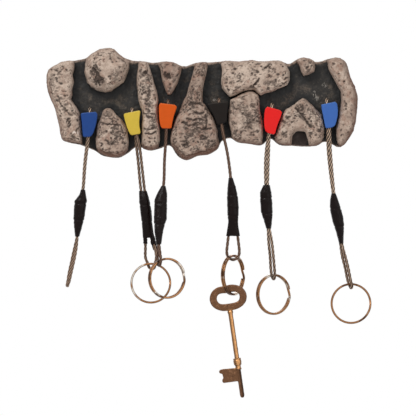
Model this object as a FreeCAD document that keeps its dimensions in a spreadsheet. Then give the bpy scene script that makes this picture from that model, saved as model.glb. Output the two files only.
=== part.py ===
import FreeCAD, Part
import math
import os
from FreeCAD import Vector, Rotation, Placement

# Key rack for a climber's wall: a plaque of stones bedded on a thin backing slab, with six
# miniature climbing nuts on cable slings wedged in the cracks between the stones. Each sling ends
# in a loop for keys; five loops carry a split ring and one ring carries an old bit key.
# Millimetres. +Z is up, the front faces -Y, and the back of the slab lies on the plane y = 0.

doc = FreeCAD.newDocument("climbing_key_rack")
sheet = doc.addObject("Spreadsheet::Sheet", "Sheet")

SIZES = [
    ("slab_depth", 8.0),        # backing slab, back face to floor of the cracks
    ("slab_round", 0.8),        # rounding of the slab's front rim
    ("stone_rise", 14.0),       # stones above the slab
    ("boulder_rise", 16.5),     # the domed stone stands a little prouder
    ("stone_round", 3.2),       # how far a stone's outline draws in at its front
    ("nut_back", 14.0),         # wall to the back of a nut
    ("nut_depth", 9.2),         # depth of a nut at its top
    ("nut_depth_low", 7.6),     # depth of a nut at its foot
    ("nut_round", 0.45),        # broken edges of a nut
    ("cable_width", 2.0),       # wire cable
    ("ring_width", 26.6),       # split ring, outside
    ("ring_wire", 1.4),         # split ring, radial thickness
    ("ring_stack", 2.6),        # split ring, two coils side by side
    ("ring_groove", 0.3),       # groove between the coils
    ("bow_thick", 2.0),         # key bow
    ("bow_round", 0.7),
    ("shank_width", 3.1),       # key shank
    ("collar_width", 5.3),
    ("collar_small", 4.4),
    ("tip_width", 3.0),
    ("bit_thick", 2.0),
    ("plate_width", 36.0),      # keyhole hanger plate
    ("plate_height", 20.0),
    ("plate_thick", 1.5),
    ("keyhole_radius", 4.5),
    ("keyhole_slot", 4.4),
    ("keyhole_rise", 8.0),      # entry hole's centre to the end of the slot's centre line
    ("pocket_depth", 4.5),      # room for a screw head behind the plate
    ("pocket_width", 12.0),
    ("pocket_height", 19.0),
    ("hanger_offset", 62.0),    # hangers either side of the middle
    ("hanger_height", 8.0),     # entry holes above the middle
    ("screw_spacing", 26.0),
    ("screw_head", 5.2),
    ("screw_shank", 2.4),
    ("screw_length", 6.4),
]
for row, (alias, value) in enumerate(SIZES, start=1):
    sheet.set("A%d" % row, alias)
    sheet.set("B%d" % row, str(value))
    sheet.setAlias("B%d" % row, alias)
doc.recompute()

FACING_FRONT = Rotation(Vector(1, 0, 0), 90)    # a sketch's x, y become X, Z and its normal -Y


def size(alias):
    return float(getattr(sheet, alias))


def bind(item, **expressions):
    """Ties properties to expressions in the sheet's names; a double underscore stands for a dot."""
    for prop, text in expressions.items():
        for alias, _ in SIZES:
            text = text.replace("<%s>" % alias, "Sheet.%s" % alias)
        item.setExpression(prop.replace("__", "."), text)


def closed_spline(points):
    curve = Part.BSplineCurve()
    curve.interpolate(Points=[Vector(u, v, 0) for u, v in points], PeriodicFlag=True)
    return curve


def drawn_in(points, inset):
    """The outline's points moved inwards, less at a sharp tip so that its sides never cross."""
    count = len(points)
    area = sum(points[i - 1][0] * points[i][1] - points[i][0] * points[i - 1][1]
               for i in range(count))
    side = 1.0 if area > 0 else -1.0
    inward = []
    for i in range(count):
        du = points[(i + 1) % count][0] - points[i - 1][0]
        dv = points[(i + 1) % count][1] - points[i - 1][1]
        length = math.hypot(du, dv)
        inward.append((-side * dv / length, side * du / length))
    moved = []
    for i, (u, v) in enumerate(points):
        reach = inset
        for j in (i - 1, (i + 1) % count):
            du, dv = points[j][0] - u, points[j][1] - v
            gap = math.hypot(du, dv)
            closing = -((inward[j][0] - inward[i][0]) * du
                        + (inward[j][1] - inward[i][1]) * dv) / gap
            if closing > 0:
                reach = min(reach, 0.5 * gap / closing)
        moved.append((u + inward[i][0] * reach, v + inward[i][1] * reach))
    return moved


def spline_sketch(name, points, rotation=FACING_FRONT):
    sketch = doc.addObject("Sketcher::SketchObject", name)
    sketch.addGeometry(closed_spline(points), False)
    sketch.Placement = Placement(Vector(0, 0, 0), rotation)
    return sketch


def polygon_sketch(name, points, rotation=FACING_FRONT):
    sketch = doc.addObject("Sketcher::SketchObject", name)
    corners = [Vector(u, v, 0) for u, v in points]
    sketch.addGeometry([Part.LineSegment(corners[i - 1], corners[i])
                        for i in range(len(corners))], False)
    sketch.Placement = Placement(Vector(0, 0, 0), rotation)
    return sketch


def loft(name, sections, ruled):
    item = doc.addObject("Part::Loft", name)
    item.Sections = sections
    item.Solid = True
    item.Ruled = ruled
    return item


def extrusion(name, sketch, length, symmetric=False):
    item = doc.addObject("Part::Extrusion", name)
    item.Base = sketch
    item.DirMode = "Normal"
    item.Solid = True
    item.Symmetric = symmetric
    bind(item, LengthFwd=length)
    return item


def cut(name, base, tools):
    tool = tools[0]
    if len(tools) > 1:
        tool = doc.addObject("Part::MultiFuse", name + "_tools")
        tool.Shapes = tools
    item = doc.addObject("Part::Cut", name)
    item.Base = base
    item.Tool = tool
    return item


NODES = []


def node(item, label):
    item.Label = label
    NODES.append(item)
    return item


# ---------------------------------------------------------------------------------------------
# Backing slab: the outline of the whole plaque, with recesses at the back for two hangers.

SLAB_OUTLINE = [
    (-101, 19), (-99.5, 23), (-95, 26), (-90, 28), (-84, 28.5), (-78.5, 29.5), (-75, 30.5),
    (-71, 33.5), (-66.5, 36), (-61.5, 37), (-57, 36), (-53.5, 32), (-49, 30), (-44, 28.5),
    (-38, 28.5), (-33.5, 27.5), (-28.5, 27.5), (-23, 28), (-18.5, 27.5), (-14.5, 26),
    (-11.5, 25), (-7.5, 26), (-1.5, 27.5), (5, 27.5), (10, 28), (15.5, 28.5), (20.5, 28.5),
    (25.5, 28), (30, 28.5), (33, 29), (37.5, 28.5), (43, 28.5), (48.5, 29), (53, 28),
    (57, 26.5), (60, 28), (63.5, 30), (66.5, 30.5), (70, 30), (74, 28), (77, 28), (81.5, 29.5),
    (87, 30.5), (90.5, 30), (94, 28), (96, 23), (97.5, 17.5), (100, 11.5), (102, 6),
    (102, 0.5), (101.5, -6), (100.5, -11.5), (99, -17.5), (96.5, -22), (93.5, -26), (90, -28),
    (86, -26.5), (83, -25), (79.5, -24.5), (76.5, -26.5), (71, -27.5), (65.5, -27.5),
    (59.5, -27), (53.5, -27), (49, -25.5), (45.5, -22.5), (42, -24.5), (39.5, -26.5),
    (35, -26.5), (29, -25.5), (23, -24.5), (18.5, -22), (16, -22.5), (13, -24.5), (11, -28.5),
    (8, -31), (3.5, -33), (-1.5, -33.5), (-5.5, -35), (-9.5, -36.5), (-13, -35.5), (-17, -32),
    (-21, -27), (-25, -28), (-29.5, -29.5), (-35, -30), (-40, -28), (-44, -28.5), (-47, -31),
    (-50.5, -33.5), (-55, -35), (-60, -34.5), (-65.5, -33), (-69, -30.5), (-74, -28.5),
    (-79, -26.5), (-84, -25.5), (-88.5, -24.5), (-91, -23), (-92, -19), (-92.5, -15),
    (-94, -8.5), (-96, -2.5), (-98, 2.5), (-100, 8), (-101, 13.5),
]

slab_blank = extrusion("slab_blank", spline_sketch("slab_outline", SLAB_OUTLINE), "<slab_depth>")
recesses = []
for side, sign in (("left", "-"), ("right", "")):
    for kind, depth in (("plate", "<plate_thick>"), ("pocket", "<plate_thick> + <pocket_depth>")):
        box = doc.addObject("Part::Box", "%s_%s_recess" % (side, kind))
        lift = "<keyhole_rise> / 2" if kind == "plate" else "<keyhole_rise> / 2 - 0.5"
        bind(box, Length="<%s_width> + %s" % (kind, "0.4" if kind == "plate" else "0"),
             Width=depth, Height="<%s_height> + %s" % (kind, "0.4" if kind == "plate" else "0"),
             Placement__Base__x="%s<hanger_offset> - (<%s_width> + %s) / 2" % (
                 sign, kind, "0.4" if kind == "plate" else "0"),
             Placement__Base__y="-(%s)" % depth,
             Placement__Base__z="<hanger_height> + %s - (<%s_height> + %s) / 2" % (
                 lift, kind, "0.4" if kind == "plate" else "0"))
        recesses.append(box)


def hanger_screw(name, sign, offset):
    """Countersunk screw, head flush with the plate, driven forwards into the slab."""
    head = doc.addObject("Part::Cone", name + "_head")
    bind(head, Radius1="<screw_head> / 2", Radius2="<screw_shank> / 2", Height="<plate_thick>")
    shank = doc.addObject("Part::Cylinder", name + "_shank")
    bind(shank, Radius="<screw_shank> / 2", Height="<screw_length>")
    whole = doc.addObject("Part::MultiFuse", name)
    whole.Shapes = [head, shank]
    whole.Placement = Placement(Vector(0, 0, 0), Rotation(Vector(1, 0, 0), 90))
    bind(whole, Placement__Base__x="%s<hanger_offset> + %s<screw_spacing> / 2" % (sign, offset),
         Placement__Base__z="<hanger_height> + <keyhole_rise> / 2")
    return whole


plates, screws = [], []
for side, sign in (("left", "-"), ("right", "")):
    pair = [hanger_screw("%s_screw_%s" % (side, place), sign, offset)
            for place, offset in (("inner", "-"), ("outer", ""))]
    blank = doc.addObject("Part::Box", side + "_plate_blank")
    bind(blank, Length="<plate_width>", Width="<plate_thick>", Height="<plate_height>",
         Placement__Base__x="%s<hanger_offset> - <plate_width> / 2" % sign,
         Placement__Base__y="-<plate_thick>",
         Placement__Base__z="<hanger_height> + (<keyhole_rise> - <plate_height>) / 2")
    entry = doc.addObject("Part::Cylinder", side + "_keyhole_entry")
    top = doc.addObject("Part::Cylinder", side + "_keyhole_top")
    for round_hole, radius, lift in ((entry, "<keyhole_radius>", ""),
                                     (top, "<keyhole_slot> / 2", " + <keyhole_rise>")):
        round_hole.Placement = Placement(Vector(0, 0, 0), Rotation(Vector(1, 0, 0), 90))
        bind(round_hole, Radius=radius, Height="<plate_thick> + 1",
             Placement__Base__x="%s<hanger_offset>" % sign, Placement__Base__y="0.5",
             Placement__Base__z="<hanger_height>%s" % lift)
    slot = doc.addObject("Part::Box", side + "_keyhole_slot")
    bind(slot, Length="<keyhole_slot>", Width="<plate_thick> + 1", Height="<keyhole_rise>",
         Placement__Base__x="%s<hanger_offset> - <keyhole_slot> / 2" % sign,
         Placement__Base__y="-<plate_thick> - 0.5", Placement__Base__z="<hanger_height>")
    plates.append((side, cut(side + "_plate_cut", blank, [entry, top, slot] + pair)))
    grouped = doc.addObject("Part::Compound", side + "_screw_pair")
    grouped.Links = pair
    screws.append((side, grouped))

slab_cut = cut("slab_cut", slab_blank, recesses + [pair for _, pair in screws])
node(slab_cut, "backing_slab")
for side, plate in plates:
    node(plate, side + "_hanger_plate")
for side, pair in screws:
    node(pair, side + "_hanger_screws")

# ---------------------------------------------------------------------------------------------
# Stones, bedded side by side on the slab. Outlines in X, Z; the gaps between them are the cracks.

STONES = {
    "left_end_stone": [
        (-96, 25.5), (-91.5, 27.5), (-87, 28.5), (-83, 28.5), (-82.5, 24), (-83.5, 19),
        (-83, 14.5), (-84, 9), (-83.5, 6), (-84.5, 3), (-81.5, -1.5), (-79.2, -6), (-78.4, -11),
        (-77.9, -17), (-77.7, -22), (-77.5, -26), (-82, -25), (-88, -24.5), (-90.5, -23),
        (-92, -19.5), (-92.5, -15.5), (-94, -9), (-95.5, -2.5), (-98, 2.5), (-100, 8),
        (-101, 13.5), (-101, 19), (-100, 22.5),
    ],
    "boulder_stone": [
        (-75, 30), (-71, 33.5), (-66.5, 36), (-61.5, 36.5), (-57, 36), (-53.5, 32.5), (-49.5, 30),
        (-47, 27.5), (-47, 23.5), (-48.5, 19), (-50.5, 14), (-53.5, 11.5), (-58, 8.5),
        (-62.5, 7.5), (-67.5, 8.5), (-71.5, 10.5), (-74.5, 13.5), (-75.5, 17), (-76.5, 21.5),
        (-76, 26.5),
    ],
    "egg_stone": [
        (-65, -6.5), (-64, -4), (-62, -2.5), (-59.5, -2.5), (-57.5, -4), (-55, -7),
        (-51.6, -10.4), (-49.4, -13.6), (-47.9, -17), (-47.4, -21), (-47.3, -25.5), (-48, -30),
        (-50.5, -33), (-55, -34.5), (-59.5, -34.5), (-64, -33), (-67.5, -31), (-68.8, -27.5),
        (-69, -22), (-68.8, -17.5), (-68.2, -13.5), (-66.4, -10),
    ],
    "pillar_stone": [
        (-41, 27.5), (-38, 28), (-35, 27.5), (-33, 21.5), (-31, 15), (-29, 8.5), (-28, 2.5),
        (-28.1, -4), (-28, -10.5), (-27, -17), (-27, -23.5), (-28, -28), (-31, -29.5), (-35, -30),
        (-38, -29), (-39.3, -26.5), (-39, -20), (-39, -14.5), (-38.6, -8.5), (-39.3, -3.5),
        (-41, 2), (-42, 8), (-42.5, 14.5), (-42, 21),
    ],
    "tapered_stone": [
        (-28.5, 26), (-27, 27.5), (-23, 28), (-18.5, 27.5), (-15.5, 26), (-12.5, 24),
        (-13.5, 19.5), (-15.5, 13.5), (-18, 9), (-20, 6), (-22, 5.8), (-23.5, 9), (-25.5, 14.5),
        (-26.5, 19), (-27, 22.5),
    ],
    "bottle_stone": [
        (-4, 26.5), (-0.5, 27.5), (3.5, 27.5), (4, 24.5), (3, 19), (1.5, 13), (1, 7), (1, 1.5),
        (4, -2.5), (7, -6.5), (9, -11.5), (10.5, -17), (11, -22), (11.5, -26.5), (9, -30),
        (4, -33), (-1.5, -33.5), (-5.5, -34.5), (-9.5, -36.5), (-12.5, -35.5), (-16, -32),
        (-19.5, -27.5), (-20.7, -23), (-20, -18.2), (-18.4, -13.3), (-16, -7.2), (-13.2, -0.7),
        (-10, 6), (-8, 12.5), (-6, 19),
    ],
    "upper_block_stone": [
        (12.5, 26.5), (15.5, 28.5), (20, 28), (25, 28), (29.5, 28.5), (33, 29), (37.5, 28),
        (43, 28), (48.5, 28.5), (52.5, 28), (55.5, 25.5), (57.5, 21), (57.5, 16), (56, 12),
        (51.5, 10), (46, 8), (41.5, 7), (38.5, 5.5), (34, 9), (30, 9), (25.5, 7.5), (22, 5.5),
        (18.5, 4), (16, 7), (13, 10), (12.5, 15), (13, 21),
    ],
    "lower_block_stone": [
        (18.5, 3.4), (22.5, 5), (26.5, 7), (30, 8.5), (33.7, 8.4), (36.9, 6), (38, 2.6), (38, -2.5),
        (38.7, -6.5), (40, -11), (40.4, -15.5), (40, -21.5), (39.5, -26), (35, -26.5),
        (29, -25.5), (23, -24.5), (20, -22.5), (19, -18), (17.3, -12.5), (17, -6.5), (18, -1.5),
    ],
    "small_stone": [
        (61.5, 28), (63.5, 30), (66.5, 30.5), (70, 30), (73.5, 28), (74, 24.5), (73.5, 21),
        (70, 19), (66.5, 18), (65, 20.5), (63.5, 24.5),
    ],
    "gable_stone": [
        (47.2, -22), (49, -17), (50.7, -11.7), (52.8, -6.5), (54.3, -3.5), (57.5, -2),
        (61, 0.5), (63.5, 3), (66, 4.5), (68, 3.5), (71, 0.5), (75, -3.8), (78.3, -7),
        (79.3, -11), (80, -16), (80, -21.5), (78, -25), (74.5, -27), (70, -27.5), (69, -23),
        (67.5, -18), (62, -18), (59.5, -20.5), (58.5, -26.5), (53.5, -26.5), (49, -25),
    ],
    "right_end_stone": [
        (82, 25), (82, 28.5), (87, 30.5), (90.5, 30), (93.5, 27.5), (95.5, 23), (97, 17.5),
        (100, 11.5), (101.5, 6), (101.5, 0.5), (101, -6), (100.5, -11.5), (99, -17.5), (96, -22),
        (93.5, -26), (90.5, -28), (88.5, -25.5), (87.4, -21), (87.3, -16.2), (88.4, -10.5),
        (89.8, -4), (90.8, 2), (90.5, 8), (88, 12.5), (85.5, 17.5), (83, 21.5),
    ],
}

# Height of each section as a share of the stone's rise, and its inset as a share of stone_round.
STONE_PROFILE = [(0.0, 0.0), (0.6, 0.0), (0.82, 0.22), (0.94, 0.55), (1.0, 1.0)]
DOME_PROFILE = [(0.0, 0.0), (0.45, 0.0), (0.66, 0.35), (0.82, 0.9), (0.93, 1.6), (1.0, 2.6)]

for name, outline in STONES.items():
    domed = name == "boulder_stone"
    share = 0.55 if name == "tapered_stone" else 1.0     # too slim a tip for the full rounding
    rise = "<boulder_rise>" if domed else "<stone_rise>"
    sections = []
    for level, (height, inset) in enumerate(DOME_PROFILE if domed else STONE_PROFILE):
        section = polygon_sketch("%s_level_%d" % (name, level),
                                 drawn_in(outline, inset * share * size("stone_round")))
        bind(section, Placement__Base__y="-(<slab_depth> + %s * %g)" % (rise, height))
        sections.append(section)
    node(loft(name + "_body", sections, ruled=True), name)

# ---------------------------------------------------------------------------------------------
# Fobs. A sling is one length of cable: up one strand, over the nut, down the other strand, round
# the key loop and back to its own start inside the ferrule. Stations follow the middle of the two
# strands downwards: x, y, z, half the gap between the strands, and the turn of the pair in
# degrees (0: one strand in front of the other, 90: side by side).

FOBS = {
    "blue": dict(
        nut=[(-78.5, -6.6), (-77.6, -5.9), (-69.0, -5.1), (-67.6, -6.5), (-67.8, -9.2),
             (-68.7, -13.8), (-70.1, -18.2), (-71.4, -20.6), (-73.1, -21.5), (-76.4, -21.5),
             (-77.1, -20.6), (-77.4, -17.0), (-77.9, -11.0)],
        sling=[(-72.6, -18.5, -5.4, 2.2, 0), (-73.2, -18.5, -13.5, 2.2, 0),
               (-73.8, -18.5, -21.8, 2.1, 6), (-74.8, -18.5, -30, 1.9, 9),
               (-76.3, -18.5, -45, 1.7, 8), (-77.2, -18.5, -56, 1.6, 4),
               (-78.4, -18.5, -62.5, 1.7, 0), (-79.3, -18.5, -68.5, 1.7, 0),
               (-80.1, -18.5, -77, 1.6, 0), (-80.9, -18.5, -86.2, 1.6, 4),
               (-82.3, -18.5, -95, 2.6, 15), (-84.4, -18.5, -105, 3.5, 13),
               (-86.0, -18.5, -112.5, 3.0, 13)],
        loop=(-87.2, -18.5, -118.3, 2.4, 12), ferrule_at=7,
        sleeve=[(-77.1, -55.7, 1.4, 2.95), (-77.3, -59.2, 2.2, 3.2), (-78.6, -63, 4.1, 3.7),
                (-79.4, -70, 3.7, 3.65), (-79.9, -75.5, 3.4, 3.6), (-80.5, -82, 2.1, 3.1),
                (-80.85, -86.1, 1.4, 2.95)],
        ferrule=[(-78.4, -62.5, 2.7, 3.1), (-79.3, -68.7, 3.0, 3.2), (-79.9, -75, 2.7, 3.1)]),
    "yellow": dict(
        nut=[(-50.6, -7.2), (-50.0, -6.2), (-40.4, -4.2), (-39.7, -5.0), (-40.1, -7.6),
             (-40.5, -11.0), (-40.4, -14.6), (-39.6, -18.4), (-40.3, -19.5), (-45.5, -20.3),
             (-46.2, -19.8), (-47.3, -17.9), (-48.6, -14.6), (-49.7, -11.0)],
        sling=[(-45.2, -18.5, -5.3, 2.2, 0), (-44.0, -18.5, -12.8, 2.2, 0),
               (-42.6, -18.5, -20.2, 2.1, 10), (-41.3, -18.4, -28, 1.6, 38),
               (-40.2, -18.1, -37, 1.25, 58), (-39.3, -17.8, -46, 1.2, 74),
               (-38.1, -17.4, -56.6, 1.2, 90), (-36.9, -17.1, -64, 1.3, 90),
               (-36.1, -16.9, -71, 1.3, 90), (-35.3, -16.6, -79, 1.5, 90),
               (-34.3, -16.4, -87, 2.4, 80), (-33.3, -16.2, -95, 3.7, 62),
               (-32.9, -16.0, -101, 4.7, 45)],
        loop=(-32.4, -16.0, -107.2, 4.0, 40), ferrule_at=8,
        sleeve=[(-38.1, -56.6, 2.55, 1.5), (-37.6, -60, 3.0, 2.6), (-37.0, -64, 3.5, 3.3),
                (-36.1, -70.2, 3.6, 3.3), (-35.4, -78, 3.5, 3.2), (-34.9, -83.2, 3.5, 2.3),
                (-34.3, -87, 3.8, 1.7)],
        ferrule=[(-36.9, -64, 2.8, 2.6), (-36.1, -70.5, 3.0, 2.8), (-35.45, -77, 2.8, 2.6)],
        legs={"left": [(-36.6, -86, 1.4, 1.4), (-36.6, -90.7, 1.3, 1.3)],
              "right": [(-32.1, -86, 1.5, 1.5), (-31.2, -90.5, 1.9, 1.9),
                        (-30.0, -95, 1.4, 1.4)]}),
    "orange": dict(
        nut=[(-27.7, -1.0), (-26.8, 0.6), (-17.2, -0.6), (-15.9, -1.9), (-16.9, -4.6),
             (-18.1, -8.1), (-18.9, -11.7), (-19.5, -15.3), (-20.2, -15.9), (-25.4, -15.9),
             (-26.3, -15.0), (-27.0, -12.9), (-27.4, -10.0), (-27.7, -5.0)],
        sling=[(-21.7, -18.5, 0.1, 2.2, 0), (-22.2, -18.5, -8, 2.2, 0),
               (-22.8, -18.7, -15.9, 2.1, 0), (-23.4, -20.0, -26.7, 1.9, 0),
               (-24.1, -22.0, -38, 1.7, 0), (-24.7, -24.6, -53, 1.6, 0),
               (-26.0, -26.1, -61, 1.7, 0), (-26.6, -27.4, -68.5, 1.7, 0),
               (-27.5, -29.1, -79, 1.7, 0), (-27.7, -30.8, -90.5, 1.7, 6),
               (-27.5, -31.7, -97, 3.0, 14)],
        loop=(-27.4, -32.5, -104.9, 3.9, 16), ferrule_at=7,
        sleeve=[(-24.7, -53.3, 1.4, 2.95), (-25.5, -58, 3.2, 3.5), (-26.4, -62.4, 4.1, 3.7),
                (-26.7, -74.8, 4.1, 3.7), (-27.6, -81.9, 2.9, 3.3), (-27.7, -91, 1.6, 3.1)],
        ferrule=[(-26.1, -62, 2.7, 3.1), (-26.6, -68.7, 3.0, 3.2), (-27.2, -75.3, 2.7, 3.1)]),
    "black": dict(
        nut=[(3.7, -0.6), (4.4, 0.0), (16.6, 1.7), (17.4, 1.0), (17.2, -1.4), (16.5, -6.5),
             (16.4, -11.2), (15.8, -11.9), (10.8, -13.6), (9.9, -13.0), (9.5, -11.5),
             (7.4, -6.5), (4.9, -2.4)],
        sling=[(11.4, -18.5, 0.9, 2.2, 0), (12.2, -18.5, -6.5, 2.2, 0),
               (13.1, -18.5, -13.6, 2.2, 0), (14.2, -18.5, -20.2, 2.1, 0),
               (16.0, -18.5, -28, 1.9, 0), (17.6, -18.5, -37, 1.8, 0),
               (19.0, -18.5, -48.5, 1.6, 0), (19.8, -18.5, -57, 1.6, 25),
               (20.3, -18.5, -65, 1.7, 45), (20.5, -18.5, -73, 1.8, 70),
               (20.5, -18.5, -80, 2.1, 88), (20.5, -18.5, -86, 3.0, 90),
               (20.5, -18.5, -92.5, 3.8, 90)],
        loop=(20.5, -18.5, -101.2, 4.0, 90), ferrule_at=8,
        sleeve=[(19.0, -48.1, 1.4, 2.95), (19.6, -54, 2.6, 3.2), (20.1, -60, 3.6, 3.7),
                (20.4, -66, 3.7, 3.7), (20.5, -72.2, 3.6, 3.6), (20.5, -75.8, 3.1, 2.8),
                (20.5, -80, 3.5, 2.2), (20.5, -85.8, 4.5, 1.6)],
        ferrule=[(20.0, -60, 2.8, 3.0), (20.3, -66, 3.0, 3.1), (20.5, -72, 2.9, 2.9)]),
    "red": dict(
        nut=[(41.3, -3.4), (42.7, -1.7), (51.2, -4.1), (52.3, -5.6), (51.2, -9.1),
             (49.8, -12.4), (48.7, -15.8), (47.9, -18.9), (47.2, -19.8), (43.2, -19.0),
             (41.6, -17.5), (40.9, -15.2), (40.6, -11.0), (40.8, -6.5)],
        sling=[(45.8, -18.5, -2.4, 2.2, 0), (44.7, -18.5, -11, 2.2, 0),
               (43.8, -18.5, -19.6, 2.1, 5), (42.9, -18.5, -30, 1.9, 24),
               (42.4, -18.5, -41, 1.9, 28), (42.3, -18.5, -52.6, 1.7, 20),
               (42.2, -18.5, -59.5, 1.7, 8), (42.4, -18.5, -66.5, 1.7, 0),
               (43.0, -18.5, -74, 1.6, 2), (43.7, -18.5, -81, 1.6, 14),
               (44.7, -18.5, -90, 2.3, 26), (45.7, -18.5, -99.5, 3.3, 18)],
        loop=(46.8, -18.5, -113.8, 3.8, 16), ferrule_at=7,
        sleeve=[(42.3, -52.7, 2.1, 2.9), (41.7, -57.2, 3.6, 3.6), (41.9, -60.8, 3.85, 3.7),
                (42.5, -71, 3.8, 3.65), (43.2, -75.6, 2.6, 3.2), (43.65, -80.9, 1.6, 2.95)],
        ferrule=[(42.2, -60, 2.7, 3.1), (42.4, -66.2, 3.0, 3.2), (42.8, -72.2, 2.7, 3.1)]),
    "sky": dict(
        nut=[(77.8, -0.4), (86.8, 1.4), (88.1, 0.2), (88.6, -3.9), (88.4, -7.8), (87.7, -11.0),
             (86.9, -13.7), (86.1, -14.6), (83.5, -15.6), (81.3, -15.7), (80.5, -15.3),
             (79.8, -11.7), (79.1, -7.8), (78.2, -3.9)],
        sling=[(81.4, -18.5, 0.7, 2.2, 0), (82.0, -18.5, -7.7, 2.2, 0),
               (82.6, -18.5, -15.9, 2.1, 12), (82.9, -18.5, -26.6, 1.9, 22),
               (83.5, -18.5, -35.5, 1.8, 23), (84.4, -18.5, -45, 1.7, 18),
               (85.8, -18.5, -57.9, 1.6, 9), (86.8, -18.5, -65.5, 1.7, 0),
               (88.2, -18.5, -72.5, 1.7, 0), (89.4, -18.5, -79.5, 1.7, 2),
               (90.8, -18.5, -90.5, 1.6, 14), (92.6, -18.5, -99.5, 2.6, 20),
               (94.6, -18.5, -107.5, 3.4, 15)],
        loop=(97.2, -18.5, -119.6, 3.6, 13), ferrule_at=8,
        sleeve=[(85.85, -58.2, 1.4, 2.95), (86.2, -62, 2.5, 3.3), (87.0, -67.6, 3.6, 3.7),
                (88.2, -73, 3.8, 3.7), (89.3, -78.6, 3.4, 3.6), (90.1, -84, 2.3, 3.2),
                (90.85, -90.7, 1.4, 2.95)],
        ferrule=[(86.9, -66.2, 2.7, 3.1), (88.2, -72.5, 3.0, 3.2), (89.3, -78.5, 2.7, 3.1)]),
}


def strand(station, front):
    """Point on one strand of the pair: the front (or right) one, or the other."""
    x, y, z, half_gap, turn = station
    reach = half_gap if front else -half_gap
    angle = math.radians(turn)
    return Vector(x + reach * math.sin(angle), y - reach * math.cos(angle), z)


def sling_points(fob):
    """Points of the cable from the ferrule up, over the nut, down, round the loop and back."""
    stations = list(fob["sling"])
    x, y, z, half_gap, turn = stations[0]
    over = [(x, y, z + half_gap * 0.707, half_gap * 0.707, turn), (x, y, z + half_gap, 0, turn)]
    x, y, z, radius, turn = fob["loop"]
    last = stations[-1]
    share = (last[2] - (z + radius)) / (last[2] - z)
    under = [(last[0] + (x - last[0]) * share, last[1] + (y - last[1]) * share,
              z + radius, radius, turn),
             (x, y, z + radius * 0.293, radius * 0.707, turn), (x, y, z, 0, turn)]
    start = fob["ferrule_at"]
    chain = [over[0]] + stations + under[:-1]
    points = [strand(item, True) for item in reversed(chain[:start + 2])]
    points.append(strand(over[1], True))
    points += [strand(item, False) for item in chain]
    points.append(strand(under[-1], True))
    points += [strand(item, True) for item in reversed(chain[start + 2:])]
    return points + [points[0] + (points[-1] - points[0]) * 0.12]


def middle_y(fob, z):
    """Depth of the sling's middle at a height, read between its stations."""
    stations = fob["sling"]
    for above, below in zip(stations, stations[1:]):
        if below[2] <= z <= above[2]:
            share = (above[2] - z) / (above[2] - below[2])
            return above[1] + (below[1] - above[1]) * share
    return stations[-1][1]


def oval(x, y, half_x, half_y):
    return [(x + half_x * math.cos(math.radians(a)), y + half_y * math.sin(math.radians(a)))
            for a in range(0, 360, 45)]


def tube_loft(name, fob, stations, offset_y=None):
    """Solid through level ovals: x, z, half width, half depth."""
    sections = []
    for level, (x, z, half_x, half_y) in enumerate(stations):
        y = middle_y(fob, z) + (offset_y[level] if offset_y else 0.0)
        section = spline_sketch("%s_level_%d" % (name, level), oval(x, y, half_x, half_y),
                                Rotation())
        section.Placement.Base.z = z
        sections.append(section)
    return loft(name, sections, ruled=True)


def cable(name, points):
    """Round cable along a smooth line through the points, as short straight-sided lengths."""
    line = Part.BSplineCurve()
    line.interpolate(points)
    length = line.length()
    count = int(length / 0.25)
    spots = [line.parameterAtDistance(length * i / count) for i in range(count)]
    spots.append(line.LastParameter)
    heading = line.tangent(spots[0])[0]
    facing = Rotation(Vector(0, 0, 1), heading)
    rounds, bend, run, before = [], 0.0, 0.0, heading
    for i, spot in enumerate(spots):
        tangent = line.tangent(spot)[0]
        bend += math.degrees(tangent.getAngle(before))
        run += length / count
        before = tangent
        if bend < 12 and run < 9 and 0 < i < count:
            continue
        facing = Rotation(heading, tangent).multiply(facing)
        heading, bend, run = tangent, 0.0, 0.0
        section = Part.makeCircle(size("cable_width") / 2)
        section.Placement = Placement(line.value(spot), facing)
        rounds.append(Part.Wire([section]))
    item = doc.addObject("Part::Feature", name)
    item.Shape = Part.makeLoft(rounds, True, True)
    return item


def nut_body(colour, outline):
    """Tapered wedge with broken edges: its front outline cut back to a slimmer foot."""
    sections = []
    for level, (depth, inset) in enumerate((
            ("<nut_back>", 1), ("<nut_back> + <nut_round>", 0),
            ("<nut_back> + <nut_depth> - <nut_round>", 0), ("<nut_back> + <nut_depth>", 1))):
        section = polygon_sketch("%s_nut_level_%d" % (colour, level),
                                 drawn_in(outline, inset * size("nut_round")))
        bind(section, Placement__Base__y="-(%s)" % depth)
        sections.append(section)
    front = loft(colour + "_nut_front", sections, ruled=True)
    top, foot = max(v for _, v in outline), min(v for _, v in outline)
    back, deep, edge = size("nut_back"), size("nut_depth"), size("nut_round")
    slim = (deep - size("nut_depth_low")) / 2
    side = extrusion(colour + "_nut_side", polygon_sketch(colour + "_nut_taper", [
        (-back - edge, top), (-back - deep + edge, top), (-back - deep, top - 2 * edge),
        (-back - deep + slim, foot + edge), (-back - deep + slim + edge, foot),
        (-back - slim - edge, foot), (-back - slim, foot + edge), (-back, top - 2 * edge),
    ], Rotation(Vector(1, 1, 1), 120)), "250", symmetric=True)
    blank = doc.addObject("Part::MultiCommon", colour + "_nut_blank")
    blank.Shapes = [front, side]
    return blank


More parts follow.
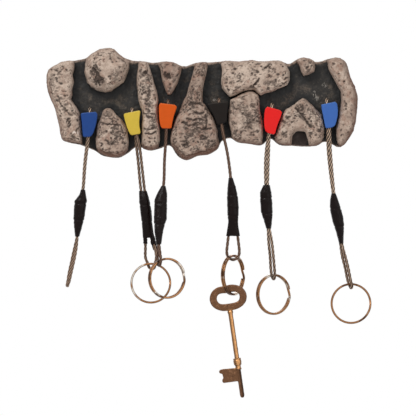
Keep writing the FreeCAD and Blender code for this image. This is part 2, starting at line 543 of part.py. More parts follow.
for colour, fob in FOBS.items():
    wire = cable(colour + "_sling", sling_points(fob))
    blank = nut_body(colour, fob["nut"])
    node(cut(colour + "_nut_drilled", blank, [wire]), colour + "_nut")
    node(wire, colour + "_cable")
    barrel = tube_loft(colour + "_ferrule_barrel", fob, fob["ferrule"])
    node(cut(colour + "_ferrule_bored", barrel, [wire]), colour + "_ferrule")
    shrunk = tube_loft(colour + "_sleeve_body", fob, fob["sleeve"])
    if "legs" in fob:
        legs = []
        for place, stations in fob["legs"].items():
            legs.append(tube_loft("%s_sleeve_%s_leg" % (colour, place), fob, stations))
        whole = doc.addObject("Part::MultiFuse", colour + "_sleeve_whole")
        whole.Shapes = [shrunk] + legs
        shrunk = whole
    node(cut(colour + "_sleeve_bored", shrunk, [barrel, wire]), colour + "_sleeve")

# ---------------------------------------------------------------------------------------------
# Split rings: two coils of flattened wire side by side, the wire's ends showing as small steps.

RINGS = {       # centre x, y, z and turn about the vertical, left side forwards
    "yellow": (-33.0, -16.0, -116.5, 0),
    "orange": (-22.4, -29.84, -113.1, 28),
    "black": (20.5, -18.5, -111.2, 58),
    "red": (46.8, -18.5, -123.8, 35),
    "sky": (97.2, -18.5, -129.7, 0),
}
outer = size("ring_width") / 2
inner = outer - size("ring_wire")
half = size("ring_stack") / 2
dip = size("ring_groove")
RING_SECTION = [(inner + 0.25, -half), (outer - 0.25, -half), (outer, -half + 0.25),
                (outer, -0.2), (outer - dip, 0), (outer, 0.2), (outer, half - 0.25),
                (outer - 0.25, half), (inner + 0.25, half), (inner, half - 0.25), (inner, 0.2),
                (inner + dip, 0), (inner, -0.2), (inner, -half + 0.25)]

for colour, (x, y, z, turn) in RINGS.items():
    section = polygon_sketch(colour + "_ring_section", RING_SECTION, Rotation())
    turned = doc.addObject("Part::Revolution", colour + "_ring_turned")
    turned.Source = section
    turned.Axis = Vector(0, 1, 0)
    turned.Base = Vector(0, 0, 0)
    turned.Angle = 360
    turned.Solid = True
    steps = []
    for place, angle, low in (("front", 15, -half - 0.5), ("back", 195, 0.0)):
        step = doc.addObject("Part::Box", "%s_ring_%s_step" % (colour, place))
        step.Length, step.Width, step.Height = 3.0, half + 0.5, 0.5
        step.Placement = Placement(Vector(0, 0, 0), Rotation(Vector(0, 1, 0), angle)).multiply(
            Placement(Vector(inner - 0.8, low, 0), Rotation()))
        steps.append(step)
    ring = cut(colour + "_ring_split", turned, steps)
    ring.Placement = Placement(Vector(x, y, z), Rotation(Vector(0, 0, 1), turn))
    node(ring, colour + "_ring")

# ---------------------------------------------------------------------------------------------
# Bit key, drawn upright with the middle of its bow at the origin, then hung on the black ring.

BOW_OUTLINE = [(0, 8.2), (6, 7.7), (10.6, 4.6), (12.2, 0), (10.4, -4.8), (5.6, -7.8), (0, -8.5),
               (-5.6, -7.8), (-10.4, -4.8), (-12.2, 0), (-10.6, 4.6), (-6, 7.7)]
BOW_HOLE = [(0, 3.1), (3.5, 3.35), (6.4, 2.5), (7.4, 0), (6.2, -2.7), (3, -3.6), (0, -3.7),
            (-3, -3.6), (-6.2, -2.7), (-7.4, 0), (-6.4, 2.5), (-3.5, 3.35)]
BIT_OUTLINE = [(0.5, -46.0), (-10.2, -45.3), (-12.0, -45.6), (-12.8, -46.4), (-12.7, -47.7),
               (-10.9, -48.6), (-10.6, -51.2), (-11.5, -52.2), (-11.6, -53.7), (-10.8, -54.5),
               (0.5, -54.6)]

bow_blank = extrusion("bow_blank", spline_sketch("bow_outline", BOW_OUTLINE), "<bow_thick>", True)
bow_hole = extrusion("bow_hole", spline_sketch("bow_window", BOW_HOLE), "<bow_thick> + 2", True)
bow_plate = cut("bow_plate", bow_blank, [bow_hole])
doc.recompute()
bow = doc.addObject("Part::Fillet", "bow_rounded")
bow.Base = bow_plate
bow.Edges = [(i + 1, size("bow_round"), size("bow_round"))
             for i, edge in enumerate(bow_plate.Shape.Edges) if edge.Length > 20]
bit = extrusion("bit_blade", polygon_sketch("bit_outline", BIT_OUTLINE), "<bit_thick>", True)
stem = [bow, bit]
for name, width, top, foot in (("shank", "<shank_width>", -7.5, -40.0),
                               ("collar", "<collar_width>", -39.7, -44.0),
                               ("collar_ring", "<collar_small>", -44.0, -47.2),
                               ("tip", "<tip_width>", -47.2, -65.6)):
    piece = doc.addObject("Part::Cylinder", "key_" + name)
    bind(piece, Radius=width + " / 2")
    piece.Height = top - foot
    piece.Placement.Base.z = foot
    stem.append(piece)
key = doc.addObject("Part::MultiFuse", "key_whole")
key.Shapes = stem
key.Placement = Placement(Vector(17.35, -18.5, -126.0), Rotation(Vector(0, 1, 0), -8.2))
node(key, "bit_key")

# ---------------------------------------------------------------------------------------------
# Every piece is checked before it is written.

doc.recompute()
os.makedirs("parts", exist_ok=True)
for item in doc.Objects:
    if "Invalid" in item.State or "Error" in item.State:
        raise RuntimeError("%s did not recompute" % item.Label)
for item in NODES:
    if item.Shape.isNull() or not item.Shape.isValid():
        raise RuntimeError("%s has no valid shape" % item.Label)
    item.Shape.exportStep("parts/%s.step" % item.Label)
print("nodes written: %d" % len(NODES))
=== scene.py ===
"""Key rack for a climber's hall: a plaque of bedded stones with cable fobs wedged in its cracks.

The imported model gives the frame. This script dresses it: carved and pitted stones, black painted
cracks, anodised nuts on wire rope slings, shrink sleeves, split rings and an old bit key.
Lengths in the classes are millimetres unless a name says otherwise; +Z is up, the front is -Y.
"""

from __future__ import annotations

import logging
import math
from dataclasses import dataclass, field
from enum import Enum
from typing import Callable, Iterable, Sequence, Union

import bmesh
import bpy
import numpy as np
from mathutils import Matrix, Vector, noise
from mathutils.bvhtree import BVHTree
from mathutils.kdtree import KDTree

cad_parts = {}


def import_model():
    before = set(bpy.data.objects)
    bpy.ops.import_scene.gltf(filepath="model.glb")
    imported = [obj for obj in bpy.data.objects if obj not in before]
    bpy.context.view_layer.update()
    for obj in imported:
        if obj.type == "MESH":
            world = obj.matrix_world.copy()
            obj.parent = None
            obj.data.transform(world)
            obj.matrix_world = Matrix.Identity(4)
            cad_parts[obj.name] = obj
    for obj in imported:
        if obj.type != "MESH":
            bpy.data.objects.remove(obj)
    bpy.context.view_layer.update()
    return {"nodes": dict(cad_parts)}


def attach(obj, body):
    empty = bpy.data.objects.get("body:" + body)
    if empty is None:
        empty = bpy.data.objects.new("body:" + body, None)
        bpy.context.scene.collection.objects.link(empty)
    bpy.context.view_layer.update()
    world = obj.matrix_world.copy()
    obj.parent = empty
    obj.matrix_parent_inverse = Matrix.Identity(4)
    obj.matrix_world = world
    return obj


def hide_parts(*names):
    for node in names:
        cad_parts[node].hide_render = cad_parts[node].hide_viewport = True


log = logging.getLogger("key_rack")

MM = 0.001
SLAB_DEPTH = 8.0
Colour = tuple[float, float, float]
Point = tuple[float, float, float]
Outline = Sequence[tuple[float, float]]
Ellipse = tuple[float, float, float, float]             # x, z, half width, half height
Span = tuple[float, float]                              # where something starts and is full
Value = Union["Signal", float]


def srgb(red: int, green: int, blue: int) -> Colour:
    """Returns the linear colour of an 8-bit screen colour."""
    parts = [c / 255 for c in (red, green, blue)]
    return tuple(c / 12.92 if c < 0.04045 else ((c + 0.055) / 1.055) ** 2.4 for c in parts)


# --------------------------------------------------------------------------------------------
# Shader maths


class Signal:
    """A shader value that Python's operators work on; each use adds a Math node."""

    def __init__(self, kit: NodeKit, socket: bpy.types.NodeSocket) -> None:
        self.kit = kit
        self.socket = socket

    def _maths(self, operation: str, *values: Value) -> Signal:
        """Adds a Math node.

        Args:
            operation: the node's operation.
            *values: its inputs in order, signals or numbers.

        Returns:
            The node's result.
        """
        made = self.kit.node("ShaderNodeMath", {"operation": operation}, dict(enumerate(values)))
        return Signal(self.kit, made.outputs[0])

    def __add__(self, other: Value) -> Signal:
        """Returns self + other."""
        return self._maths("ADD", self, other)

    def __sub__(self, other: Value) -> Signal:
        """Returns self - other."""
        return self._maths("SUBTRACT", self, other)

    def __rsub__(self, other: float) -> Signal:
        """Returns other - self."""
        return self._maths("SUBTRACT", other, self)

    def __mul__(self, other: Value) -> Signal:
        """Returns self * other."""
        return self._maths("MULTIPLY", self, other)

    def __truediv__(self, other: Value) -> Signal:
        """Returns self / other."""
        return self._maths("DIVIDE", self, other)

    def __neg__(self) -> Signal:
        """Returns -self."""
        return self._maths("MULTIPLY", self, -1.0)

    __radd__ = __add__
    __rmul__ = __mul__

    def largest(self, other: Value) -> Signal:
        """Returns the larger of the two values."""
        return self._maths("MAXIMUM", self, other)

    def fade(self, low: float, high: float) -> Signal:
        """Rises smoothly from 0 at low to 1 at high.

        Args:
            low: where the result is 0.
            high: where the result is 1; it may be below low.

        Returns:
            The smoothed value.
        """
        made = self.kit.node("ShaderNodeMapRange", {"interpolation_type": "SMOOTHSTEP"},
                             {"Value": self, "From Min": low, "From Max": high})
        return Signal(self.kit, made.outputs[0])


class NodeKit:
    """A node tree and the calls that add nodes to it."""

    def __init__(self, tree: bpy.types.NodeTree) -> None:
        """Works on the given tree."""
        self.tree = tree

    def node(self, kind: str, settings: dict | None = None,
             inputs: dict | None = None) -> bpy.types.Node:
        """Adds a node.

        Args:
            kind: the node's type name.
            settings: properties, which are set first.
            inputs: socket name or number to a value, signal or output socket.

        Returns:
            The new node.
        """
        made = self.tree.nodes.new(kind)
        for name, value in (settings or {}).items():
            setattr(made, name, value)
        for name, value in (inputs or {}).items():
            self.feed(made.inputs[name], value)
        return made

    def feed(self, socket: bpy.types.NodeSocket, value: object) -> None:
        """Links a signal or socket into an input, or sets a plain value on it.

        Args:
            socket: the input.
            value: a signal, an output socket, a colour or what else the input holds.
        """
        if isinstance(value, Signal):
            self.tree.links.new(value.socket, socket)
        elif isinstance(value, bpy.types.NodeSocket):
            self.tree.links.new(value, socket)
        elif isinstance(value, tuple) and len(value) == 3 and socket.type == "RGBA":
            socket.default_value = (*value, 1.0)
        else:
            socket.default_value = value

    def blend(self, amount: Value, first: object, second: object) -> bpy.types.NodeSocket:
        """Mixes two colours.

        Args:
            amount: 0 gives the first, 1 the second.
            first: a colour or a colour socket.
            second: a colour or a colour socket.

        Returns:
            The mixed colour's socket.
        """
        made = self.node("ShaderNodeMix", {"data_type": "RGBA"}, {0: amount, 6: first, 7: second})
        return made.outputs[2]


class ShaderKit(NodeKit):
    """One procedural material and the short calls that build its nodes."""

    def __init__(self, name: str) -> None:
        """Starts an empty material with a Principled surface.

        Args:
            name: the material's name.
        """
        self.material = bpy.data.materials.new(name)
        self.material.use_nodes = True
        super().__init__(self.material.node_tree)
        self.surface = self.tree.nodes["Principled BSDF"]
        here = self.node("ShaderNodeTexCoord").outputs["Object"]
        self.place = self.node("ShaderNodeVectorMath", {"operation": "SCALE"},
                               {0: here, "Scale": 1 / MM}).outputs[0]

    def set(self, **values: object) -> None:
        """Sets Principled inputs, named with underscores for spaces."""
        for name, value in values.items():
            self.feed(self.surface.inputs[name.replace("_", " ")], value)

    def grain(self, scale: float, detail: float = 2.0, rough: float = 0.5,
              stretch: Point = (1, 1, 1)) -> Signal:
        """Noise from 0 to 1.

        Args:
            scale: features per millimetre.
            detail: octaves.
            rough: strength of the finer octaves.
            stretch: factors on the three axes.

        Returns:
            The noise value.
        """
        spot = self.node("ShaderNodeVectorMath", {"operation": "MULTIPLY"},
                         {0: self.place, 1: stretch}).outputs[0]
        made = self.node("ShaderNodeTexNoise", None,
                         {"Vector": spot, "Scale": scale, "Detail": detail, "Roughness": rough})
        return Signal(self, made.outputs[0])

    def cells(self, scale: float) -> Signal:
        """Returns the distance to the nearest of scattered points, in cells."""
        made = self.node("ShaderNodeTexVoronoi", None, {"Vector": self.place, "Scale": scale})
        return Signal(self, made.outputs["Distance"])

    def attribute(self, name: str) -> Signal:
        """Returns a value stored on the mesh."""
        return Signal(self, self.node("ShaderNodeAttribute",
                                      {"attribute_name": name}).outputs["Fac"])

    def along(self, axis: int) -> Signal:
        """Returns the place on one axis, in millimetres."""
        return Signal(self, self.node("ShaderNodeSeparateXYZ", None,
                                      {0: self.place}).outputs[axis])

    def spot(self, ellipse: Ellipse) -> Signal:
        """Measures from an ellipse's middle.

        Args:
            ellipse: its place and its half sizes.

        Returns:
            The squared distance, which is 1 on the ellipse.
        """
        x, z, wide, tall = ellipse
        across, up = (self.along(0) - x) / wide, (self.along(2) - z) / tall
        return across * across + up * up

    def facing(self, axis: int) -> Signal:
        """Returns one component of the surface's normal."""
        normal = self.node("ShaderNodeTexCoord").outputs["Normal"]
        return Signal(self, self.node("ShaderNodeSeparateXYZ", None, {0: normal}).outputs[axis])

    def relief(self, height: Signal, depth: float) -> bpy.types.NodeSocket:
        """Bumps the surface.

        Args:
            height: the bumps, from 0 to 1.
            depth: how high a bump of 1 is, in millimetres.

        Returns:
            The bumped normal's socket.
        """
        made = self.node("ShaderNodeBump", None,
                         {"Height": height, "Distance": depth * MM, "Strength": 1.0})
        return made.outputs[0]


# --------------------------------------------------------------------------------------------
# Finishes


@dataclass(frozen=True)
class StoneFinish:
    """Cast rock: pinkish beige with grey-brown wash in its hollows and browner rims, which carry
    painted shade on their downward faces.
    """

    pale: Colour = srgb(203, 183, 166)
    body: Colour = srgb(178, 156, 140)
    wash: Colour = srgb(116, 96, 84)
    pit: Colour = srgb(56, 46, 41)
    rim: Colour = srgb(112, 80, 66)
    rust: Colour = srgb(146, 108, 90)
    wall: Colour = srgb(34, 31, 29)
    chalk: Colour = srgb(226, 212, 200)

    def material(self) -> bpy.types.Material:
        """Builds the nodes of this finish.

        Returns:
            The material for the stones.
        """
        kit = ShaderKit("stone_wash")
        cavity, tone = kit.attribute("cavity"), kit.attribute("tone")
        broad = kit.grain(0.13, 3.0, 0.6)
        colour = kit.blend((broad - tone * 0.22).fade(0.34, 0.58), self.body, self.pale)
        mottle = kit.grain(0.42, 5.0, 0.66) + tone * 0.09
        colour = kit.blend(mottle.fade(0.46, 0.72) * 0.6, colour, self.wash)
        fine = kit.grain(2.4, 3.0, 0.6, (0.7, 1.0, 1.4)) + tone * 0.05
        colour = kit.blend(fine.fade(0.52, 0.72) * 0.4, colour, self.wash)
        rusty = kit.grain(0.2, 4.0, 0.65) + tone * 0.06
        colour = kit.blend(rusty.fade(0.52, 0.70) * 0.5, colour, self.rust)
        specks = kit.cells(0.8).fade(0.22, 0.10) * kit.grain(0.4, 2.0).fade(0.44, 0.56)
        hollow = (cavity + specks * 0.7).largest(0.0)
        colour = kit.blend(hollow.fade(0.0, 1.0) * 0.92, colour, self.pit)
        glint = (kit.grain(1.3, 3.0, 0.6).fade(0.62, 0.74) - hollow).largest(0.0)
        colour = kit.blend(glint * 0.5, colour, self.pale)
        colour = kit.blend((-cavity).fade(0.15, 0.6) * 0.9, colour, self.chalk)
        # brown rim stain, partly painted shade on faces turned down
        stain = kit.attribute("rim") * (kit.grain(0.6, 4.0, 0.6).fade(0.25, 0.6) * 0.5 + 0.5)
        colour = kit.blend(stain, colour, self.rim)
        colour = kit.blend(kit.attribute("wall"), colour, self.wall)
        height = kit.grain(1.6, 5.0, 0.62) - specks * 0.6
        kit.set(Base_Color=colour, Roughness=0.88 - hollow * 0.12,
                Normal=kit.relief(height, 0.2), Specular_IOR_Level=0.25)
        return kit.material


@dataclass(frozen=True)
class CrackPaint:
    """Black satin paint in the cracks with a painted shadow beside the stones, stone wash on the
    slab's rim, a plain dark back.
    """

    black: Colour = srgb(34, 30, 26)
    worn: Colour = srgb(98, 87, 76)
    # colour of the painted shadow beside the stones
    shadow_black: Colour = srgb(9, 7, 6)
    rim: Colour = srgb(156, 134, 118)
    rim_dark: Colour = srgb(84, 66, 56)
    scuff: Colour = srgb(168, 160, 150)
    door: Colour = srgb(58, 42, 36)
    scuffs: tuple[Ellipse, ...] = ((73.6, 7.0, 1.3, 2.2), (75.0, 3.6, 1.6, 3.0),
                                   (8.6, 3.0, 1.4, 1.2), (80.4, 12.6, 2.2, 1.8))
    doorway: Ellipse = (63.8, -23.2, 5.2, 5.4)

    def material(self) -> bpy.types.Material:
        """Builds the nodes of this finish.

        Returns:
            The material for the backing slab.
        """
        kit = ShaderKit("crack_paint")
        dust = kit.grain(0.16, 5.0, 0.7).fade(0.46, 0.74)
        cloud = kit.grain(0.5, 5.0, 0.7).fade(0.42, 0.72) * 0.55
        colour = kit.blend((dust + cloud).fade(0.0, 1.15), self.black, self.worn)
        front = kit.attribute("front")
        # painted shadow of the stones on the slab's front, darkest at their feet
        nook = kit.attribute("nook") + (kit.grain(0.4, 3.0, 0.6) - 0.5) * 0.5
        colour = kit.blend(nook.fade(0.0, 0.8) * 0.95, colour, self.shadow_black)
        marks: Value = 0.0
        for scuff in self.scuffs:
            marks = kit.spot(scuff).fade(1.1, 0.2) + marks
        streaks = kit.grain(1.1, 4.0, 0.75, (1.0, 1.0, 0.7)).fade(0.50, 0.57)
        colour = kit.blend(marks * streaks * front * 0.95, colour, self.scuff)
        door = kit.spot(self.doorway).fade(1.25, 0.7) * front
        colour = kit.blend(door, colour, self.door)
        stained = kit.blend(kit.grain(0.5, 5.0, 0.7).fade(0.42, 0.62), self.rim, self.rim_dark)
        colour = kit.blend(kit.attribute("rim"), colour, stained)
        ripple = kit.grain(0.3, 4.0, 0.55) + kit.grain(1.6, 3.0, 0.6) * 0.22
        kit.set(Base_Color=colour, Roughness=dust * 0.2 + 0.42,
                Normal=kit.relief(ripple, 0.55), Specular_IOR_Level=0.35)
        return kit.material


@dataclass(frozen=True)
class NutPaint:
    """Coloured skin of a nut, a little chalky, with paler broken edges and a painted highlight on
    its upward faces.
    """

    name: str
    colour: Colour
    # paler colour of the broken edges, also used for the painted highlight on top
    edge: Colour
    rough: float = 0.42

    def material(self) -> bpy.types.Material:
        """Builds the nodes of this finish.

        Returns:
            The material for one nut.
        """
        kit = ShaderKit(f"nut_{self.name}")
        cloud = kit.grain(0.35, 4.0, 0.6).fade(0.3, 0.75)
        colour = kit.blend(cloud * 0.14, self.colour, tuple(c * 0.6 for c in self.colour))
        # painted highlight: faces turned up are lighter, as if lit from above
        lit_top = kit.facing(2).fade(0.35, 0.95)
        colour = kit.blend(lit_top * 0.55, colour, self.edge)
        nick = kit.grain(2.4, 3.0, 0.6).fade(0.70, 0.76) * 0.4
        colour = kit.blend(nick, colour, self.edge)
        kit.set(Base_Color=colour, Roughness=cloud * 0.12 + self.rough, Specular_IOR_Level=0.15,
                Normal=kit.relief(kit.grain(3.0, 3.0, 0.6), 0.02))
        return kit.material


@dataclass(frozen=True)
class WireFinish:
    """Stranded steel wire with grime and painted shade between its strands."""

    bright: Colour = srgb(208, 179, 153)
    tarnish: Colour = srgb(146, 118, 96)
    grime_and_shade: Colour = srgb(30, 21, 16)
    darkening_brown: Colour = srgb(68, 35, 15)

    def material(self) -> bpy.types.Material:
        """Builds the nodes of this finish.

        Returns:
            The material for the cables.
        """
        kit = ShaderKit("wire_rope")
        depth = kit.attribute("valley")
        stain = kit.grain(0.2, 4.0, 0.65)
        colour = kit.blend((kit.attribute("tarnish") + stain - 0.5).fade(0.0, 0.8),
                           self.bright, self.tarnish)
        # painted shade with grime in the valleys between the strands
        colour = kit.blend(depth.fade(0.0, 0.6), colour, self.grime_and_shade)
        # darker brown over the whole sling, as much as each fob's rope asks for
        colour = kit.blend(kit.attribute("darkening"), colour, self.darkening_brown)
        kit.set(Base_Color=colour, Metallic=0.35, Roughness=stain * 0.15 + 0.38,
                Normal=kit.relief(kit.grain(5.0, 2.0), 0.03))
        return kit.material


@dataclass(frozen=True)
class ShrinkFinish:
    """Black shrink tube: soft sheen, faint dust."""

    black: Colour = srgb(16, 6, 5)
    dust: Colour = srgb(36, 22, 18)

    def material(self) -> bpy.types.Material:
        """Builds the nodes of this finish.

        Returns:
            The material for the sleeves.
        """
        kit = ShaderKit("shrink_tube")
        dusty = kit.grain(0.5, 4.0, 0.6).fade(0.5, 0.8)
        colour = kit.blend(dusty * 0.5, self.black, self.dust)
        folds = kit.grain(0.9, 3.0, 0.5, (1.0, 1.0, 0.35)) + kit.grain(4.0, 2.0) * 0.12
        kit.set(Base_Color=colour, Roughness=dusty * 0.2 + 0.26, Normal=kit.relief(folds, 0.3),
                Specular_IOR_Level=0.12)
        return kit.material


@dataclass(frozen=True)
class RingFinish:
    """Nickel plate in the warm colour of its reflections, with painted nickel glints, brown patches
    and painted dark reflection along the wire's edges.
    """

    nickel: Colour = srgb(214, 202, 188)
    warm_reflection: Colour = srgb(160, 116, 80)
    brown: Colour = srgb(66, 43, 30)

    def material(self) -> bpy.types.Material:
        """Builds the nodes of this finish.

        Returns:
            The material for the split rings.
        """
        kit = ShaderKit("ring_nickel")
        glint_patches = kit.grain(0.10, 2.0, 0.4)
        # painted reflection: warm colour, with painted nickel glints in patches
        colour = kit.blend(glint_patches.fade(0.57, 0.67), self.warm_reflection, self.nickel)
        colour = kit.blend(kit.grain(0.14, 2.0, 0.5).fade(0.52, 0.62) * 0.8, colour, self.brown)
        # painted dark reflection in brown along the wire's corners
        edge = kit.attribute("edge") + (kit.grain(0.3, 3.0, 0.5) - 0.5) * 0.8
        colour = kit.blend(edge.fade(0.2, 0.8) * 0.95, colour, self.brown)
        scratch = kit.grain(2.5, 3.0, 0.6)
        kit.set(Base_Color=colour, Metallic=1.0, Roughness=scratch.fade(0.3, 0.8) * 0.14 + 0.2,
                Normal=kit.relief(scratch, 0.02))
        return kit.material


@dataclass(frozen=True)
class KeyFinish:
    """Old brass: dark bow and bit, a brighter shank, patches of dirt, and painted shade on the
    sides that face away from the front.
    """

    bronze: Colour = srgb(108, 76, 54)
    brass: Colour = srgb(206, 152, 100)
    worn: Colour = srgb(156, 114, 84)
    dirt_and_shade: Colour = srgb(54, 36, 25)

    def material(self) -> bpy.types.Material:
        """Builds the nodes of this finish.

        Returns:
            The material for the key.
        """
        kit = ShaderKit("old_brass")
        shank = kit.attribute("shank")
        colour = kit.blend(shank, self.bronze, self.brass)
        patina = kit.grain(0.5, 5.0, 0.65)
        worn = kit.grain(0.7, 4.0, 0.6).fade(0.54, 0.70) * (1.0 - shank)
        colour = kit.blend(worn * 0.5, colour, self.worn)
        colour = kit.blend(patina.fade(0.54, 0.76) * 0.6, colour, self.dirt_and_shade)
        # painted shade on the sides that face away from the front, strongest on the shank, and the
        # darker tip
        colour = kit.blend(kit.attribute("edge").fade(0.0, 1.0) * 0.85, colour, self.dirt_and_shade)
        kit.set(Base_Color=colour, Metallic=0.9, Roughness=patina.fade(0.3, 0.8) * 0.2 + 0.34,
                Normal=kit.relief(kit.grain(1.6, 4.0, 0.6), 0.06))
        return kit.material


@dataclass(frozen=True)
class ZincFinish:
    """Zinc plate with a faint spangle, for what screws to the back."""

    zinc: Colour = srgb(188, 190, 192)
    dull: Colour = srgb(142, 142, 140)

    def material(self) -> bpy.types.Material:
        """Builds the nodes of this finish.

        Returns:
            The material for the hanger plates, screws and ferrules.
        """
        kit = ShaderKit("zinc_plate")
        spangle = kit.cells(0.35)
        colour = kit.blend(spangle.fade(0.2, 0.9), self.zinc, self.dull)
        kit.set(Base_Color=colour, Metallic=1.0, Roughness=spangle.fade(0.0, 1.0) * 0.15 + 0.33,
                Normal=kit.relief(kit.grain(1.2, 3.0, 0.5, (0.2, 1.0, 1.0)), 0.05))
        return kit.material


# --------------------------------------------------------------------------------------------
# Mesh helpers


def mesh_piece(name: str, vertices: Iterable, faces: Iterable, material: bpy.types.Material,
               smooth: bool = True) -> bpy.types.Object:
    """Makes an object of a mesh given in millimetres.

    Args:
        name: the piece's name.
        vertices: its points.
        faces: its faces as lists of point numbers.
        material: its finish.
        smooth: whether its faces are shaded smooth.

    Returns:
        The linked object.
    """
    mesh = bpy.data.meshes.new(name)
    mesh.from_pydata([tuple(float(c) * MM for c in v) for v in vertices], [], list(faces))
    mesh.update()
    if smooth:
        mesh.shade_smooth()
    mesh.materials.append(material)
    piece = bpy.data.objects.new(name, mesh)
    bpy.context.scene.collection.objects.link(piece)
    return piece


def applied(piece: bpy.types.Object) -> None:
    """Bakes an object's modifiers into its mesh.

    Args:
        piece: the object, which has none left afterwards.
    """
    graph = bpy.context.evaluated_depsgraph_get()
    mesh = bpy.data.meshes.new_from_object(piece.evaluated_get(graph))
    piece.modifiers.clear()
    old, piece.data = piece.data, mesh
    bpy.data.meshes.remove(old)


def store(mesh: bpy.types.Mesh, name: str, values: np.ndarray) -> None:
    """Keeps one number per vertex on the mesh for its material."""
    layer = mesh.attributes.new(name, "FLOAT", "POINT")
    layer.data.foreach_set("value", np.asarray(values, dtype=np.float32))


def smooth_line(points: Sequence[Point], step: float) -> np.ndarray:
    """A line of continuous curvature through the points.

    Args:
        points: what it passes through, in order.
        step: about how far apart its samples are.

    Returns:
        The samples, one row each.
    """
    knots = np.array(points, dtype=float)
    gaps = np.linalg.norm(np.diff(knots, axis=0), axis=1)
    count = len(knots)
    system = np.eye(count)
    right = np.zeros_like(knots)
    for i in range(1, count - 1):
        before, after = gaps[i - 1], gaps[i]
        system[i, i - 1:i + 2] = before, 2 * (before + after), after
        right[i] = 6 * ((knots[i + 1] - knots[i]) / after - (knots[i] - knots[i - 1]) / before)
    bends = np.linalg.solve(system, right)
    samples = []
    for i, gap in enumerate(gaps):
        for share in np.arange(0, 1, 1 / max(1, round(gap / step))):
            near, far = (1 - share) * gap, share * gap
            samples.append(
                (bends[i] * near ** 3 + bends[i + 1] * far ** 3) / (6 * gap)
                + (knots[i] / gap - bends[i] * gap / 6) * near
                + (knots[i + 1] / gap - bends[i + 1] * gap / 6) * far)
    samples.append(knots[-1])
    return np.array(samples)


def frames_along(line: np.ndarray) -> tuple[np.ndarray, np.ndarray]:
    """Carries a frame along a line without twisting it.

    Args:
        line: its samples, one row each.

    Returns:
        Two normals for each sample, at right angles to each other.
    """
    tangents = np.gradient(line, axis=0)
    tangents /= np.linalg.norm(tangents, axis=1)[:, None]
    askew = (0.31, 0.87, 0.38)
    start = np.cross(tangents[0], askew)
    first = [start / np.linalg.norm(start)]
    for tangent in tangents[1:]:
        carried = first[-1] - tangent * (first[-1] @ tangent)
        first.append(carried / np.linalg.norm(carried))
    ones = np.array(first)
    return ones, np.cross(tangents, ones)


def tube_faces(rings: int, sides: int) -> list:
    """Joins points that go round ring after ring into a tube, closed at both ends.

    Args:
        rings: how many rings there are.
        sides: how many points each ring has.

    Returns:
        The faces as tuples of point numbers.
    """
    faces = []
    for ring in range(rings - 1):
        for side in range(sides):
            a = ring * sides + side
            b = ring * sides + (side + 1) % sides
            faces.append((a, b, b + sides, a + sides))
    faces.append(tuple(reversed(range(sides))))
    faces.append(tuple(range((rings - 1) * sides, rings * sides)))
    return faces


def dress(node: bpy.types.Object, material: bpy.types.Material) -> None:
    """Gives a frame node its finish and reports it.

    Args:
        node: the frame node, which keeps its shape.
        material: the finish.
    """
    node.data.materials.clear()
    node.data.materials.append(material)
    log.info("%s: %s", node.name, material.name)


def fitted(piece: bpy.types.Object, body: str) -> None:
    """Lets a piece ride on its body and reports it.

    Args:
        piece: the piece.
        body: the body that it moves with.
    """
    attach(piece, body)
    log.info("%s: %d faces", piece.name, len(piece.data.polygons))


def recast(node: str, name: str, cell: float, rounds: int,
           material: bpy.types.Material) -> bpy.types.Object:
    """A copy of a frame node as one fine, softly rounded skin.

    Args:
        node: the frame node copied.
        name: the new piece's name.
        cell: size of its faces.
        rounds: how many times it is relaxed; more gives rounder edges.
        material: its finish.

    Returns:
        The new piece, which stands for the node.
    """
    source = bpy.data.objects[node]
    mesh = source.data.copy()
    mesh.materials.clear()
    mesh.materials.append(material)
    piece = bpy.data.objects.new(name, mesh)
    bpy.context.scene.collection.objects.link(piece)
    skin = piece.modifiers.new("skin", "REMESH")
    skin.mode = "VOXEL"
    skin.voxel_size = cell * MM
    skin.use_smooth_shade = True
    relax = piece.modifiers.new("relax", "SMOOTH")
    relax.factor = 0.5
    relax.iterations = rounds
    applied(piece)
    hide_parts(node)
    return piece


def read_points(mesh: bpy.types.Mesh) -> tuple[np.ndarray, np.ndarray]:
    """Reads a mesh into arrays.

    Args:
        mesh: the mesh.

    Returns:
        Its points in millimetres and its vertex normals, one row each.
    """
    points = np.zeros(len(mesh.vertices) * 3)
    mesh.vertices.foreach_get("co", points)
    normals = np.zeros(len(mesh.vertices) * 3)
    mesh.vertex_normals.foreach_get("vector", normals)
    return points.reshape(-1, 3) / MM, normals.reshape(-1, 3)


def write_points(mesh: bpy.types.Mesh, points: np.ndarray) -> None:
    """Moves a mesh's points to places in millimetres."""
    mesh.vertices.foreach_set("co", (points * MM).ravel())
    mesh.update()


def ramp(values: np.ndarray, low: float, high: float) -> np.ndarray:
    """Returns values smoothed from 0 at low to 1 at high."""
    share = np.clip((values - low) / (high - low), 0.0, 1.0)
    return share * share * (3 - 2 * share)


def rough(points: np.ndarray, wave: float, octaves: int, seed: int) -> np.ndarray:
    """Samples fractal noise.

    Args:
        points: where, one row each.
        wave: size of its largest features.
        octaves: how many finer layers it has.
        seed: which noise.

    Returns:
        A value from about -1 to 1 for each point.
    """
    shift = Vector((seed * 7.31, seed * -3.17, seed * 5.53))
    return np.array([noise.fractal(Vector(p) / wave + shift, 0.9, 2.1, octaves)
                     for p in points.tolist()])


def from_lines(points: np.ndarray, path: Outline) -> np.ndarray:
    """Measures from a run of straight lines, in X, Z.

    Args:
        points: the points, one row each.
        path: the run's corners in order.

    Returns:
        Each point's distance from the nearest line.
    """
    flat = points[:, [0, 2]]
    best = np.full(len(flat), 1e9)
    for start, end in zip(path, path[1:]):
        a, b = np.array(start, float), np.array(end, float)
        run = b - a
        share = np.clip(((flat - a) @ run) / max(run @ run, 1e-9), 0, 1)
        best = np.minimum(best, np.linalg.norm(flat - a - share[:, None] * run, axis=1))
    return best


# --------------------------------------------------------------------------------------------
# Plaque


class MarkKind(Enum):
    """What a mark on a stone is."""

    CRACK = "crack"
    HOLE = "hole"
    PATCH = "patch"
    CHIP = "chip"


